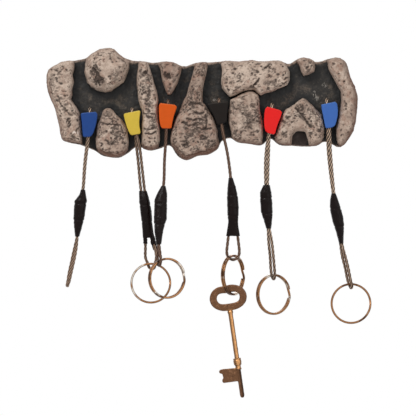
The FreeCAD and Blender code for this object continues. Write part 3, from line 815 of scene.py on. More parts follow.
@dataclass(frozen=True)
class Mark:
    """A crack, hole, pitted patch or pale chip on a stone's face.

    For a crack the size is its width; for the others the path is one middle point and the size
    is their half width and half height.
    """

    kind: MarkKind
    path: Outline
    size: tuple[float, float]
    depth: float
    dark: float = 1.0

    def press(self, points: np.ndarray, grit: np.ndarray) -> tuple[np.ndarray, np.ndarray]:
        """Works out the mark's dent.

        Args:
            points: the stone's points.
            grit: fine noise at them, which frays the mark's border.

        Returns:
            How deep each point goes and how dark it gets.
        """
        if self.kind is MarkKind.CRACK:
            away = from_lines(points, self.path) / self.size[0] + grit * 0.7
            cleft = 1 - ramp(away, 0.25, 1.35)
            return cleft * self.depth, cleft * self.dark
        x, z = self.path[0]
        away = np.hypot((points[:, 0] - x) / self.size[0], (points[:, 2] - z) / self.size[1])
        if self.kind is MarkKind.HOLE:
            bowl = 1 - ramp(away + grit * 0.45, 0.5, 1.1)
            return bowl * self.depth, bowl * self.dark
        if self.kind is MarkKind.PATCH:
            bed = 1 - ramp(away + grit * 0.4, 0.6, 1.25)
            veins = 1 - ramp(np.abs(rough(points, 1.9, 2, 60)), 0.04, 0.26)
            bitten = bed * np.maximum(ramp(grit, -0.05, 0.35), veins)
            return bitten * self.depth, (bitten * 0.9 + bed * 0.3) * self.dark
        flake = 1 - ramp(away + grit * 0.3, 0.7, 1.0)
        return flake * self.depth * ramp(grit, -0.4, 0.5), -flake * ramp(grit, -0.35, 0.3) * 0.8


def crack(*path: tuple[float, float], wide: float = 0.5, depth: float = 0.8,
          dark: float = 1.0) -> Mark:
    """Returns a crack through points in X, Z."""
    return Mark(MarkKind.CRACK, path, (wide, 0.0), depth, dark)


def hole(x: float, z: float, wide: float, tall: float, depth: float, dark: float = 1.0) -> Mark:
    """Returns a hole round X, Z with its half width and half height."""
    return Mark(MarkKind.HOLE, ((x, z),), (wide, tall), depth, dark)


def patch(x: float, z: float, wide: float, tall: float, depth: float, dark: float = 1.0) -> Mark:
    """Returns a pitted patch round X, Z with its half width and half height."""
    return Mark(MarkKind.PATCH, ((x, z),), (wide, tall), depth, dark)


def chip(x: float, z: float, wide: float, tall: float, depth: float) -> Mark:
    """Returns a pale chip round X, Z with its half width and half height."""
    return Mark(MarkKind.CHIP, ((x, z),), (wide, tall), depth)


@dataclass(frozen=True)
class StainBands:
    """Where the plaque's brown stains set in, each from its start to where it is full."""

    right: Span = (89.0, 100.5)
    left: Span = (95.0, 101.0)
    bottom: Span = (-31.0, -23.0)
    side: Span = (-21.0, -16.5)
    shaft: Span = (-18.5, -13.0)


@dataclass
class Stone:
    """One stone of the plaque, carved from its frame node."""

    name: str
    seed: int
    marks: tuple[Mark, ...] = ()
    pits: float = 1.0
    swell: float = 0.9
    tone: float = 0.4
    cell: float = 0.5
    bed: float = -SLAB_DEPTH
    sink: float = 0.12
    deepest: float = 2.0
    proudest: float = 0.35
    wall_deepest: float = 0.45
    pits_per_square_mm: float = 0.2
    undulation: float = 0.65
    grain: float = 0.08
    bands: StainBands = field(default_factory=StainBands)

    @property
    def node(self) -> str:
        """Returns the name of the node that the stone stands for."""
        return f"{self.name}_stone"

    def build(self, rim: RimGauge, material: bpy.types.Material) -> bpy.types.Object:
        """Carves the stone.

        Args:
            rim: tells how far a point is from the plaque's edge.
            material: the stone finish.

        Returns:
            The carved piece.
        """
        piece = recast(self.node, f"{self.name}_rock", self.cell, 5, material)
        points, normals = read_points(piece.data)
        grit = rough(points, 1.5, 3, self.seed)
        lumps = rough(points, 8.0, 3, self.seed + 20)
        facing = ramp(-normals[:, 1], 0.1, 0.75)
        push = self.swell * lumps * self.undulation + self.grain * grit + self.sink
        dark = np.clip((grit - 0.5) * 0.9, 0.0, 0.25)
        pit_depth, pit_shade = self._pitting(points, normals)
        push, dark = push + pit_depth, np.maximum(dark, pit_shade)
        pale = np.zeros(len(points))
        for mark in self.marks:
            depth, shade = mark.press(points, grit)
            push = push + depth * facing
            dark = np.maximum(dark, shade * facing)
            pale = np.minimum(pale, shade * facing)
        walls = np.clip(push, 0.0, self.wall_deepest)
        walls = walls * ramp(points[:, 1], self.bed, self.bed - 2.5)
        push = np.clip(push, -self.proudest, self.deepest) * facing + walls * (1 - facing)
        points = points - normals * push[:, None]
        points[:, 1] = np.minimum(points[:, 1], self.bed)
        write_points(piece.data, points)
        self._colour_guides(piece.data, points, normals, rim, grit, dark + pale)
        self._open_bed(piece.data)
        return piece

    def _pitting(self, points: np.ndarray, normals: np.ndarray) -> tuple[np.ndarray, np.ndarray]:
        """Scatters pits, most of them on the face.

        Args:
            points: the stone's points.
            normals: their normals.

        Returns:
            How deep each point lies in a pit and how dark it is there.
        """
        chance = np.random.default_rng(self.seed)
        weight = 0.1 + ramp(-normals[:, 1], 0.2, 0.8)
        weight = weight * (0.1 + ramp(rough(points, 7.0, 2, self.seed + 50), -0.3, 0.35))
        count = int(len(points) * self.cell ** 2 * self.pits_per_square_mm * self.pits)
        picked = chance.choice(len(points), size=count, p=weight / weight.sum())
        depth, shade = np.zeros(len(points)), np.zeros(len(points))
        for spot in points[picked]:
            size = 0.34 + 0.6 * chance.random() ** 3.5
            long = 1 + 1.8 * chance.random() ** 2
            turn = chance.normal(0.0, 0.5)
            near = np.flatnonzero(np.abs(points - spot).max(axis=1) < size * long * 1.3)
            offset = points[near] - spot
            along = offset[:, 0] * math.cos(turn) + offset[:, 2] * math.sin(turn)
            across = offset[:, 2] * math.cos(turn) - offset[:, 0] * math.sin(turn)
            away = np.sqrt((along / long) ** 2 + across ** 2 + offset[:, 1] ** 2) / size
            bowl = 1 - ramp(away, 0.5, 1.15)
            strength = 0.45 + 0.55 * chance.random()
            depth[near] = np.maximum(depth[near], bowl * size * 0.7)
            shade[near] = np.maximum(shade[near], bowl * strength)
        return depth, shade

    def _colour_guides(self, mesh: bpy.types.Mesh, points: np.ndarray, normals: np.ndarray,
                       rim: RimGauge, grit: np.ndarray, cavity: np.ndarray) -> None:
        """Stores what the stone finish reads at each point.

        Args:
            mesh: the carved stone.
            points: its points.
            normals: their normals before carving.
            rim: tells how far a point is from the plaque's edge.
            grit: fine noise, which frays the stains.
            cavity: how pitted each point is; below 0 it is chalky.
        """
        gap = rim.gap(points)
        line = 1 - ramp(gap + grit * 0.3, 0.2, 1.3)
        outward = 1 - ramp(gap + grit * 0.9, 0.8, 4.4)
        # painted shade: faces turned down take more of the brown rim stain
        low = ramp(-normals[:, 2], -0.1, 0.7)
        ends = ramp(points[:, 0], *self.bands.right) * 0.75
        ends = ends + ramp(-points[:, 0], *self.bands.left) * 0.4
        side = ramp(points[:, 1] + grit * 1.2, *self.bands.side)
        sunk = 1 - ramp(points[:, 2], *self.bands.bottom)
        stain = outward * (0.02 + 0.35 * low + 0.8 * sunk + 0.35 * side + ends)
        stain = np.clip(np.maximum(stain, line * 0.65), 0.0, 1.0)
        shaft = ramp(points[:, 1] + grit, *self.bands.shaft) * (1 - outward)
        store(mesh, "tone", np.full(len(points), self.tone))
        store(mesh, "cavity", cavity)
        store(mesh, "rim", stain)
        store(mesh, "wall", shaft)

    def _open_bed(self, mesh: bpy.types.Mesh) -> None:
        """Takes away the faces that lie on the slab, which nothing shows.

        Args:
            mesh: the carved stone.
        """
        shell = bmesh.new()
        shell.from_mesh(mesh)
        hidden = [f for f in shell.faces
                  if f.normal.y > 0.9 and f.calc_center_median().y > (self.bed - 0.4) * MM]
        bmesh.ops.delete(shell, geom=hidden, context="FACES")
        shell.to_mesh(mesh)
        shell.free()
        mesh.shade_smooth()


@dataclass
class Slab:
    """The slab under the stones: painted cracks and a painted shadow beside the stones in front, a
    rough cast rim, a plain back.
    """

    cell: float = 0.6
    seed: int = 40
    shoulder_x: float = -49.5
    shoulder_reach: float = 4.5
    shade_reach: float = 6.0
    shade_shift: tuple[float, float] = (-0.7, 0.9)

    def build(self, rim: RimGauge, feet: np.ndarray,
              material: bpy.types.Material) -> bpy.types.Object:
        """Carves the slab's rim and floor.

        Args:
            rim: tells how far a point is from the plaque's edge.
            feet: where the stones stand on the slab, as X, Z points.
            material: the crack paint.

        Returns:
            The carved piece.
        """
        piece = recast("backing_slab", "slab_casting", self.cell, 2, material)
        points, normals = read_points(piece.data)
        grit = rough(points, 2.2, 3, self.seed)
        lumps = rough(points, 11.0, 2, self.seed + 3)
        edge = 1 - ramp(np.abs(normals[:, 1]), 0.35, 0.85)
        near = rim.gap(points)
        front = ramp(-points[:, 1], SLAB_DEPTH - 1.0, SLAB_DEPTH - 0.5)
        outer = edge * (1 - ramp(near, 1.2, 2.2))
        push = outer * np.clip(0.12 + 0.3 * lumps + 0.3 * grit, 0.0, 0.7)
        push = push + front * (1 - edge) * np.clip(0.15 + 0.22 * lumps + 0.08 * grit, 0.0, 0.5)
        write_points(piece.data, points - normals * push[:, None])
        lip = 0.5 + 0.9 * ramp(points[:, 2], 0.0, 12.0)
        shoulder = np.exp(-((points[:, 0] - self.shoulder_x) / self.shoulder_reach) ** 2)
        lip = lip + 1.5 * shoulder * ramp(points[:, 2], 15.0, 22.0)
        band = 1 - ramp((near + grit * 0.5) / lip, 0.6, 1.5)
        store(piece.data, "rim", np.maximum(outer, band * front))
        # painted shadow of the stones, read by the crack paint
        store(piece.data, "nook", self._nook(points, front, feet))
        store(piece.data, "front", front)
        return piece

    def _nook(self, points: np.ndarray, front: np.ndarray, feet: np.ndarray) -> np.ndarray:
        """Shades the slab's front beside the stones.

        Args:
            points: the slab's points.
            front: 1 for those on its front.
            feet: where the stones stand on it, as X, Z points.

        Returns:
            The shade, 1 at a stone's foot and 0 away from it; it falls a little to one side
            of the stone and below it.
        """
        tree = KDTree(len(feet))
        for number, (x, z) in enumerate(feet.tolist()):
            tree.insert((x, 0.0, z), number)
        tree.balance()
        aside, up = self.shade_shift
        away = np.full(len(points), self.shade_reach)
        for number in np.flatnonzero(front > 0.2):
            away[number] = tree.find((points[number, 0] + aside, 0.0, points[number, 2] + up))[2]
        return 1 - ramp(away, 0.6, self.shade_reach)


class RimGauge:
    """Tells how far inside the plaque's outline a point lies."""

    def __init__(self, slab: bpy.types.Object) -> None:
        """Reads the outline from the slab's side faces, but not those of its recesses.

        Args:
            slab: the slab's frame node.
        """
        shell = bmesh.new()
        shell.from_mesh(slab.data)
        front = -(SLAB_DEPTH - 0.5) * MM
        others = [f for f in shell.faces if abs(f.normal.y) > 0.5
                  or f.calc_center_median().y > -MM or min(v.co.y for v in f.verts) > front]
        bmesh.ops.delete(shell, geom=others, context="FACES")
        self.tree = BVHTree.FromBMesh(shell)
        self.level = -(SLAB_DEPTH - 0.25) * MM
        shell.free()

    def gap(self, points: np.ndarray) -> np.ndarray:
        """Measures from the outline, in X, Z.

        Args:
            points: the points, one row each.

        Returns:
            Each point's distance in millimetres.
        """
        found = [self.tree.find_nearest(Vector((x * MM, self.level, z * MM)))
                 for x, _, z in points.tolist()]
        return np.array([hit[3] / MM for hit in found])


@dataclass
class Plaque:
    """The slab, its stones and the hangers at its back."""

    stones: tuple[Stone, ...] = (
        Stone("left_end", seed=1, tone=0.25, pits=0.6, marks=(
            crack((-92.4, 1.8), (-90.6, -1.5), wide=0.6),
            crack((-89.3, -2.0), (-87.6, -4.6), (-86.0, -6.4), wide=0.6),
            patch(-86.4, -11.4, 1.9, 3.6, 0.7), patch(-97.2, 12.5, 2.4, 6.0, 0.4, 0.6),
            crack((-98.0, 7.0), (-95.2, 0.0), (-93.4, -6.5), (-92.2, -13.0), depth=0.5, dark=0.5),
            chip(-81.7, -18.9, 2.8, 2.1, 0.5))),
        Stone("boulder", seed=2, tone=0.15, pits=0.45, swell=1.1, marks=(
            patch(-69.0, 20.6, 3.6, 4.4, 0.9), patch(-66.2, 15.0, 4.8, 3.4, 0.9),
            hole(-68.8, 20.0, 2.2, 3.6, 0.4, 0.35), hole(-66.6, 14.6, 4.2, 2.0, 0.4, 0.45),
            crack((-70.8, 22.6), (-68.4, 19.6), (-66.0, 16.6), depth=0.7),
            crack((-69.6, 16.2), (-66.6, 17.6), (-64.4, 17.2), depth=0.6),
            crack((-70.2, 13.6), (-66.8, 14.2), (-63.8, 15.4), depth=0.6),
            crack((-70.8, 23.2), (-68.6, 20.6), (-66.8, 18.4), (-64.4, 15.2), wide=0.9, depth=1.0),
            crack((-70.6, 15.6), (-68.0, 14.0), (-66.4, 11.6), wide=0.6),
            patch(-55.6, 18.6, 4.2, 5.2, 0.4, 0.5),
            crack((-53.6, 30.8), (-50.6, 28.6), (-48.0, 27.2), wide=1.1, depth=0.9),
            hole(-64.6, 33.6, 2.4, 0.8, 0.5, 0.7))),
        Stone("egg", seed=3, tone=0.55, pits=1.1, marks=(
            hole(-60.7, -5.6, 3.2, 2.5, 0.3, 0.5),
            crack((-63.8, -6.2), (-62.2, -8.2), (-59.2, -8.2), (-57.6, -5.8), depth=0.4, dark=0.7),
            crack((-65.0, -12.2), (-62.4, -12.8), (-60.6, -13.5), wide=0.6),
            crack((-60.8, -13.2), (-56.4, -13.5), (-52.4, -13.6)),
            patch(-58.8, -26.0, 2.7, 1.0, 0.9), hole(-65.2, -27.2, 1.0, 0.6, 0.6),
            crack((-66.6, -30.2), (-61.5, -32.0), (-55.5, -32.2), (-50.6, -30.6), depth=0.4,
                  dark=0.5))),
        Stone("pillar", seed=4, tone=0.05, pits=1.2, marks=(
            hole(-36.0, 20.6, 2.3, 1.4, 1.3), hole(-40.2, 9.2, 0.9, 0.8, 0.9),
            hole(-33.8, 15.7, 0.9, 0.7, 0.8), patch(-34.6, 6.6, 2.0, 2.2, 0.6, 0.8),
            crack((-39.6, 3.1), (-37.0, 2.9), depth=0.6),
            crack((-38.0, -6.4), (-34.5, -6.0), (-30.4, -6.6), wide=0.6, depth=0.6),
            crack((-35.4, -8.6), (-31.0, -8.9), depth=0.5),
            crack((-38.8, -15.8), (-35.4, -16.4), (-32.0, -16.2), wide=0.7),
            crack((-36.8, -19.0), (-32.8, -19.6), (-29.4, -17.8), wide=0.7),
            hole(-33.8, -24.7, 1.0, 0.8, 0.8), hole(-37.4, -23.2, 0.8, 0.6, 0.6))),
        Stone("tapered", seed=5, tone=1.35, pits=0.8, swell=0.6, marks=(
            patch(-22.4, 18.6, 4.0, 2.6, 1.0), hole(-22.6, 18.2, 2.9, 1.4, 0.9, 0.9),
            hole(-20.4, 12.8, 0.9, 0.8, 0.7))),
        Stone("bottle", seed=6, tone=0.8, pits=1.3, swell=1.2, marks=(
            crack((-7.0, 0.6), (-3.6, 0.0), (-1.0, 0.5), (2.0, -0.4), wide=0.9, depth=1.2),
            crack((-4.0, -5.6), (-1.0, -6.4), (1.6, -5.4), wide=1.0, depth=1.0),
            crack((-9.6, -9.4), (-5.6, -10.4), (-1.6, -9.6), (2.8, -10.8), wide=0.8, depth=0.9),
            crack((-12.4, -12.0), (-8.6, -14.2), (-4.4, -13.4), wide=0.7, depth=0.7),
            crack((2.4, -7.2), (3.4, -11.4), (3.0, -15.8), wide=0.7, depth=0.9),
            crack((-3.4, -15.0), (0.6, -16.6), (6.6, -15.6), wide=0.7),
            patch(-2.0, -18.6, 7.0, 2.6, 0.4, 0.6), patch(-10.4, -26.6, 2.4, 1.9, 1.1),
            crack((-14.6, -30.6), (-10.2, -33.8), (-4.6, -32.6), (2.0, -31.2), wide=0.6, depth=0.6),
            patch(-4.0, 10.0, 2.6, 6.0, 0.3, 0.45))),
        Stone("upper_block", seed=7, tone=0.1, pits=0.7, swell=1.2, marks=(
            crack((44.6, 28.2), (43.4, 25.6), (41.6, 23.6), wide=0.9, depth=1.3),
            crack((37.6, 16.5), (35.8, 14.2), (34.2, 12.4), wide=0.7, depth=1.2),
            crack((34.2, 12.4), (33.6, 10.6), (36.2, 7.2), wide=0.8, depth=1.2),
            hole(31.6, 9.7, 2.8, 1.1, 1.3), hole(20.4, 20.0, 1.3, 0.9, 0.7),
            hole(52.9, 24.4, 0.8, 0.7, 0.7), crack((53.6, 15.6), (55.0, 16.8), (57.0, 17.2)),
            patch(43.0, 13.6, 3.4, 2.2, 0.4, 0.6))),
        Stone("lower_block", seed=8, tone=0.42, pits=1.3, swell=0.8, marks=(
            patch(26.6, -2.6, 3.8, 5.4, 0.5, 0.6), patch(31.0, -12.5, 5.0, 4.5, 0.4, 0.45),
            hole(34.0, -20.2, 0.9, 0.8, 0.8))),
        Stone("small", seed=9, tone=0.45, pits=0.6, swell=0.6, marks=(
            patch(67.2, 25.2, 1.6, 1.4, 0.5, 0.6),)),
        Stone("gable", seed=10, tone=0.25, pits=0.75, marks=(
            crack((62.6, 2.2), (60.6, -2.0), (66.0, -8.2), (71.0, -15.2), wide=0.85, depth=1.3),
            patch(71.6, -5.6, 4.0, 3.4, 0.35, 0.6), chip(58.8, -0.4, 2.6, 1.1, 0.3),
            crack((67.0, -8.8), (69.2, -13.4), (72.4, -14.6), depth=0.7, dark=0.8),
            hole(57.0, -8.4, 1.3, 0.9, 0.9), hole(60.9, -7.4, 0.9, 0.6, 0.6),
            patch(68.4, -2.6, 2.4, 2.2, 0.35, 0.5))),
        Stone("right_end", seed=11, tone=0.5, pits=0.14, swell=1.0, marks=(
            hole(92.7, 14.6, 1.0, 0.8, 1.0), patch(93.7, 5.8, 1.8, 1.4, 0.3, 0.45),
            hole(92.6, 0.4, 1.2, 1.0, 0.4, 0.45), hole(92.3, -13.6, 0.8, 0.7, 0.6, 0.7))),
    )
    slab: Slab = field(default_factory=Slab)

    def build(self, nodes: dict, zinc: bpy.types.Material) -> None:
        """Carves the slab and every stone, and dresses the hangers, which keep their shapes.

        Args:
            nodes: the frame's nodes.
            zinc: finish of the hangers.
        """
        rim = RimGauge(nodes["backing_slab"])
        feet = np.concatenate([self.foot(nodes[stone.node]) for stone in self.stones])
        fitted(self.slab.build(rim, feet, CrackPaint().material()), "rack")
        rock = StoneFinish().material()
        for stone in self.stones:
            fitted(stone.build(rim, rock), "rack")
        for side in ("left", "right"):
            for part in ("hanger_plate", "hanger_screws"):
                dress(nodes[f"{side}_{part}"], zinc)

    @staticmethod
    def foot(node: bpy.types.Object) -> np.ndarray:
        """Returns the X, Z places that a stone node covers, to the nearest half millimetre."""
        points, _ = read_points(node.data)
        return np.unique(np.round(points[:, [0, 2]] / 0.5) * 0.5, axis=0)


# --------------------------------------------------------------------------------------------
# Fobs


Station = tuple[float, float, float, float, float]      # x, y, z, half the gap, turn in degrees
Oval = tuple[float, float, float, float]                # x, z, half width, half depth


@dataclass
class Rope:
    """Wire rope: four heavy strands, one turn of them in each lay."""

    radius: float = 0.99
    lay: float = 12.4
    strands: int = 4
    sides: int = 8
    step: float = 0.42
    tarnish: float = 0.15
    # how much darker brown the whole sling is
    darkening: float = 0.0
    damp: Span = (84.0, 96.0)
    fade_length: float = 5.0
    bright_length: float = 2.0

    def build(self, name: str, points: Sequence[Point],
              material: bpy.types.Material) -> bpy.types.Object:
        """Makes the rope.

        Args:
            name: the piece's name.
            points: what its middle passes through.
            material: the wire finish.

        Returns:
            The rope as one closed skin.
        """
        line = smooth_line(points, self.step)
        first, second = frames_along(line)
        run = np.concatenate([[0], np.cumsum(np.linalg.norm(np.diff(line, axis=0), axis=1))])
        count = self.strands * self.sides
        turn = np.arange(count) / count * 2 * math.pi
        wire = self.radius / (1 + 1 / math.sin(math.pi / self.strands))
        middle = self.radius - wire
        lobe = (turn % (2 * math.pi / self.strands)) - math.pi / self.strands
        inner = np.clip(wire ** 2 - (middle * np.sin(lobe)) ** 2, 0.0, None)
        reach = middle * np.cos(lobe) + np.sqrt(inner)
        valley = ramp(np.abs(lobe) * self.strands / math.pi, 0.15, 0.8)
        rows = []
        for i, centre in enumerate(line):
            angle = turn + run[i] / self.lay * 2 * math.pi
            rows.append(centre + np.outer(np.cos(angle) * reach, first[i])
                        + np.outer(np.sin(angle) * reach, second[i]))
        piece = mesh_piece(name, np.concatenate(rows), tube_faces(len(line), count), material)
        low = ramp(-line[:, 2], *self.damp)
        top = line[:, 2].max()
        # the sling is less brown towards its top
        bent = ramp(line[:, 2], top - self.fade_length, top - self.bright_length)
        brown = np.clip(self.tarnish + 0.5 * low - 0.5 * bent, 0.0, 1.0)
        # depth in the valleys between strands, where the wire finish paints shade and grime
        store(piece.data, "valley", np.outer(1.0 - 0.55 * brown, valley).ravel())
        store(piece.data, "tarnish", np.repeat(brown, count))
        store(piece.data, "darkening", np.full(len(line) * count, self.darkening))
        return piece


@dataclass
class Sleeve:
    """Shrink tube drawn tight over a pair of wires."""

    stations: tuple[Oval, ...]
    seed: int
    sides: int = 36
    step: float = 0.55
    soften: float = 0.5
    lip: float = 0.32
    roll: float = 1.4
    squareness: float = 0.86
    ridges_at: tuple[float, ...] = (0.3, 0.66)
    creases: int = 5
    fold_depth: float = 0.10
    crease_depth: float = 0.2
    ridge_height: float = 0.3

    def build(self, name: str, depth_at: Callable[[float], float],
              material: bpy.types.Material) -> bpy.types.Object:
        """Makes the sleeve.

        Args:
            name: the piece's name.
            depth_at: the Y of the wires' middle at a height.
            material: the sleeve finish.

        Returns:
            The sleeve as one closed skin with rolled ends.
        """
        given = np.array(self.stations)
        heights = np.arange(given[0, 1], given[-1, 1], -self.step)
        heights = np.append(heights, given[-1, 1])
        rows = np.array([[np.interp(-z, -given[:, 1], given[:, k]) for k in (0, 2, 3)]
                         for z in heights])
        rows = self._softened(rows)
        turn = np.arange(self.sides) / self.sides * 2 * math.pi
        rings = [self._ring(x, depth_at(z), z, wide, deep, turn, 0.0)
                 for z, (x, wide, deep) in zip(heights, rows)]
        for place, way in ((0, 1), (-1, -1)):
            z, (x, wide, deep) = heights[place], rows[place]
            y, inside = depth_at(z), z - way * self.roll
            rolled = [self._ring(x, y, z, wide, deep, turn, self.lip),
                      self._ring(x, y, inside, wide, deep, turn, self.lip * 1.6)]
            rings = rolled[::-1] + rings if place == 0 else rings + rolled
        piece = mesh_piece(name, np.concatenate(rings), tube_faces(len(rings), self.sides),
                           material)
        points, normals = read_points(piece.data)
        write_points(piece.data, points - normals * self._folds(points)[:, None])
        return piece

    def _folds(self, points: np.ndarray) -> np.ndarray:
        """Draws folds and creases across the sleeve, and ridges round it.

        Args:
            points: the sleeve's points.

        Returns:
            How far each point is drawn in; below 0 it bulges.
        """
        (x, top, *_), bottom = self.stations[0], self.stations[-1][1]
        folds = rough(points * np.array([1.0, 1.0, 0.6]), 2.6, 2, self.seed)
        chance = np.random.default_rng(self.seed)
        creases = np.zeros(len(points))
        for _ in range(self.creases):
            level = top + (0.12 + 0.76 * chance.random()) * (bottom - top)
            tilt = chance.uniform(-0.5, 0.5)
            away = points[:, 2] - level - tilt * (points[:, 0] - x)
            creases = np.maximum(creases, np.exp(-(away / 0.5) ** 2) * chance.uniform(0.4, 1.0))
        ridges = np.zeros(len(points))
        for share in self.ridges_at:
            level = top + share * (bottom - top)
            ridges = np.maximum(ridges, np.exp(-((points[:, 2] - level) / 0.55) ** 2))
        return (self.fold_depth * (folds + 0.5) + self.crease_depth * creases
                - self.ridge_height * ridges)

    def _softened(self, rows: np.ndarray) -> np.ndarray:
        """Blurs the sleeve's sizes along it.

        Args:
            rows: one row of sizes for each level.

        Returns:
            The blurred rows, as many as before.
        """
        reach = int(3 * self.soften / self.step)
        weights = np.exp(-0.5 * (np.arange(-reach, reach + 1) * self.step / self.soften) ** 2)
        padded = np.pad(rows, ((reach, reach), (0, 0)), mode="edge")
        return np.array([(padded[i:i + 2 * reach + 1] * weights[:, None]).sum(0) / weights.sum()
                         for i in range(len(rows))])

    def _ring(self, x: float, y: float, z: float, wide: float, deep: float, turn: np.ndarray,
              inset: float) -> np.ndarray:
        """Places one level ring of the sleeve.

        Args:
            x: its middle.
            y: its middle.
            z: its level.
            wide: half its width.
            deep: half its depth.
            turn: the angles of its points.
            inset: how far it is drawn in.

        Returns:
            Its points, one row each.
        """
        across, through = (np.sign(wave) * np.abs(wave) ** self.squareness
                           for wave in (np.cos(turn), np.sin(turn)))
        return np.column_stack([x + across * (wide - inset), y + through * (deep - inset),
                                np.full(len(turn), z)])


@dataclass
class Fob:
    """A nut on a sling of wire rope, with its ferrule under a shrink sleeve."""

    name: str
    paint: NutPaint
    sling: tuple[Station, ...]
    loop: Station
    ferrule_at: int
    sleeve: tuple[Oval, ...]
    legs: tuple[tuple[Oval, ...], ...] = ()
    rope: Rope = field(default_factory=Rope)

    @staticmethod
    def _strand(station: Station, front: bool) -> np.ndarray:
        """Finds where one strand of the pair passes a station.

        Args:
            station: the pair's middle, its half gap and its turn.
            front: True for the front (or right) strand, False for the other.

        Returns:
            The point on the strand's middle.
        """
        x, y, z, half_gap, turn = station
        reach = half_gap if front else -half_gap
        angle = math.radians(turn)
        return np.array([x + reach * math.sin(angle), y - reach * math.cos(angle), z])

    def route(self) -> list[np.ndarray]:
        """Follows the sling up from the ferrule, over the nut and down round the loop.

        Returns:
            The points that its middle passes through, in order.
        """
        stations = list(self.sling)
        x, y, z, half_gap, turn = stations[0]
        over = [(x, y, z + half_gap * 0.707, half_gap * 0.707, turn), (x, y, z + half_gap, 0, turn)]
        x, y, z, radius, turn = self.loop
        last = stations[-1]
        share = (last[2] - (z + radius)) / (last[2] - z)
        under = [(last[0] + (x - last[0]) * share, last[1] + (y - last[1]) * share,
                  z + radius, radius, turn),
                 (x, y, z + radius * 0.293, radius * 0.707, turn), (x, y, z, 0, turn)]
        start = self.ferrule_at
        chain = [over[0]] + stations + under[:-1]
        points = [self._strand(s, True) for s in reversed(chain[:start + 2])]
        points.append(self._strand(over[1], True))
        points += [self._strand(s, False) for s in chain]
        points.append(self._strand(under[-1], True))
        points += [self._strand(s, True) for s in reversed(chain[start + 2:])]
        return points + [points[0] + (points[-1] - points[0]) * 0.12]

    def middle(self, z: float) -> float:
        """Returns the Y of the pair's middle at a height."""
        heights = [-s[2] for s in self.sling]
        return float(np.interp(-z, heights, [s[1] for s in self.sling]))

    def build(self, nodes: dict, wire: bpy.types.Material, shrink: bpy.types.Material,
              zinc: bpy.types.Material, seed: int) -> None:
        """Makes the fob's pieces and lets them ride on its body.

        Args:
            nodes: the frame's nodes.
            wire: finish of the sling.
            shrink: finish of the sleeve.
            zinc: finish of the ferrule.
            seed: where its sleeve's folds start.
        """
        body = f"{self.name}_fob"
        nut = recast(f"{self.name}_nut", f"{self.name}_wedge", 0.3, 3, self.paint.material())
        fitted(nut, body)
        sling = self.rope.build(f"{self.name}_sling", self.route(), wire)
        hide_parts(f"{self.name}_cable")
        fitted(sling, body)
        for place, ovals in enumerate((self.sleeve, *self.legs)):
            part = "shrink_sleeve" if place == 0 else f"sleeve_leg_{place}"
            sleeve = Sleeve(ovals, seed * 10 + place)
            tube = sleeve.build(f"{self.name}_{part}", self.middle, shrink)
            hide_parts(f"{self.name}_sleeve")
            fitted(tube, body)
        dress(nodes[f"{self.name}_ferrule"], zinc)


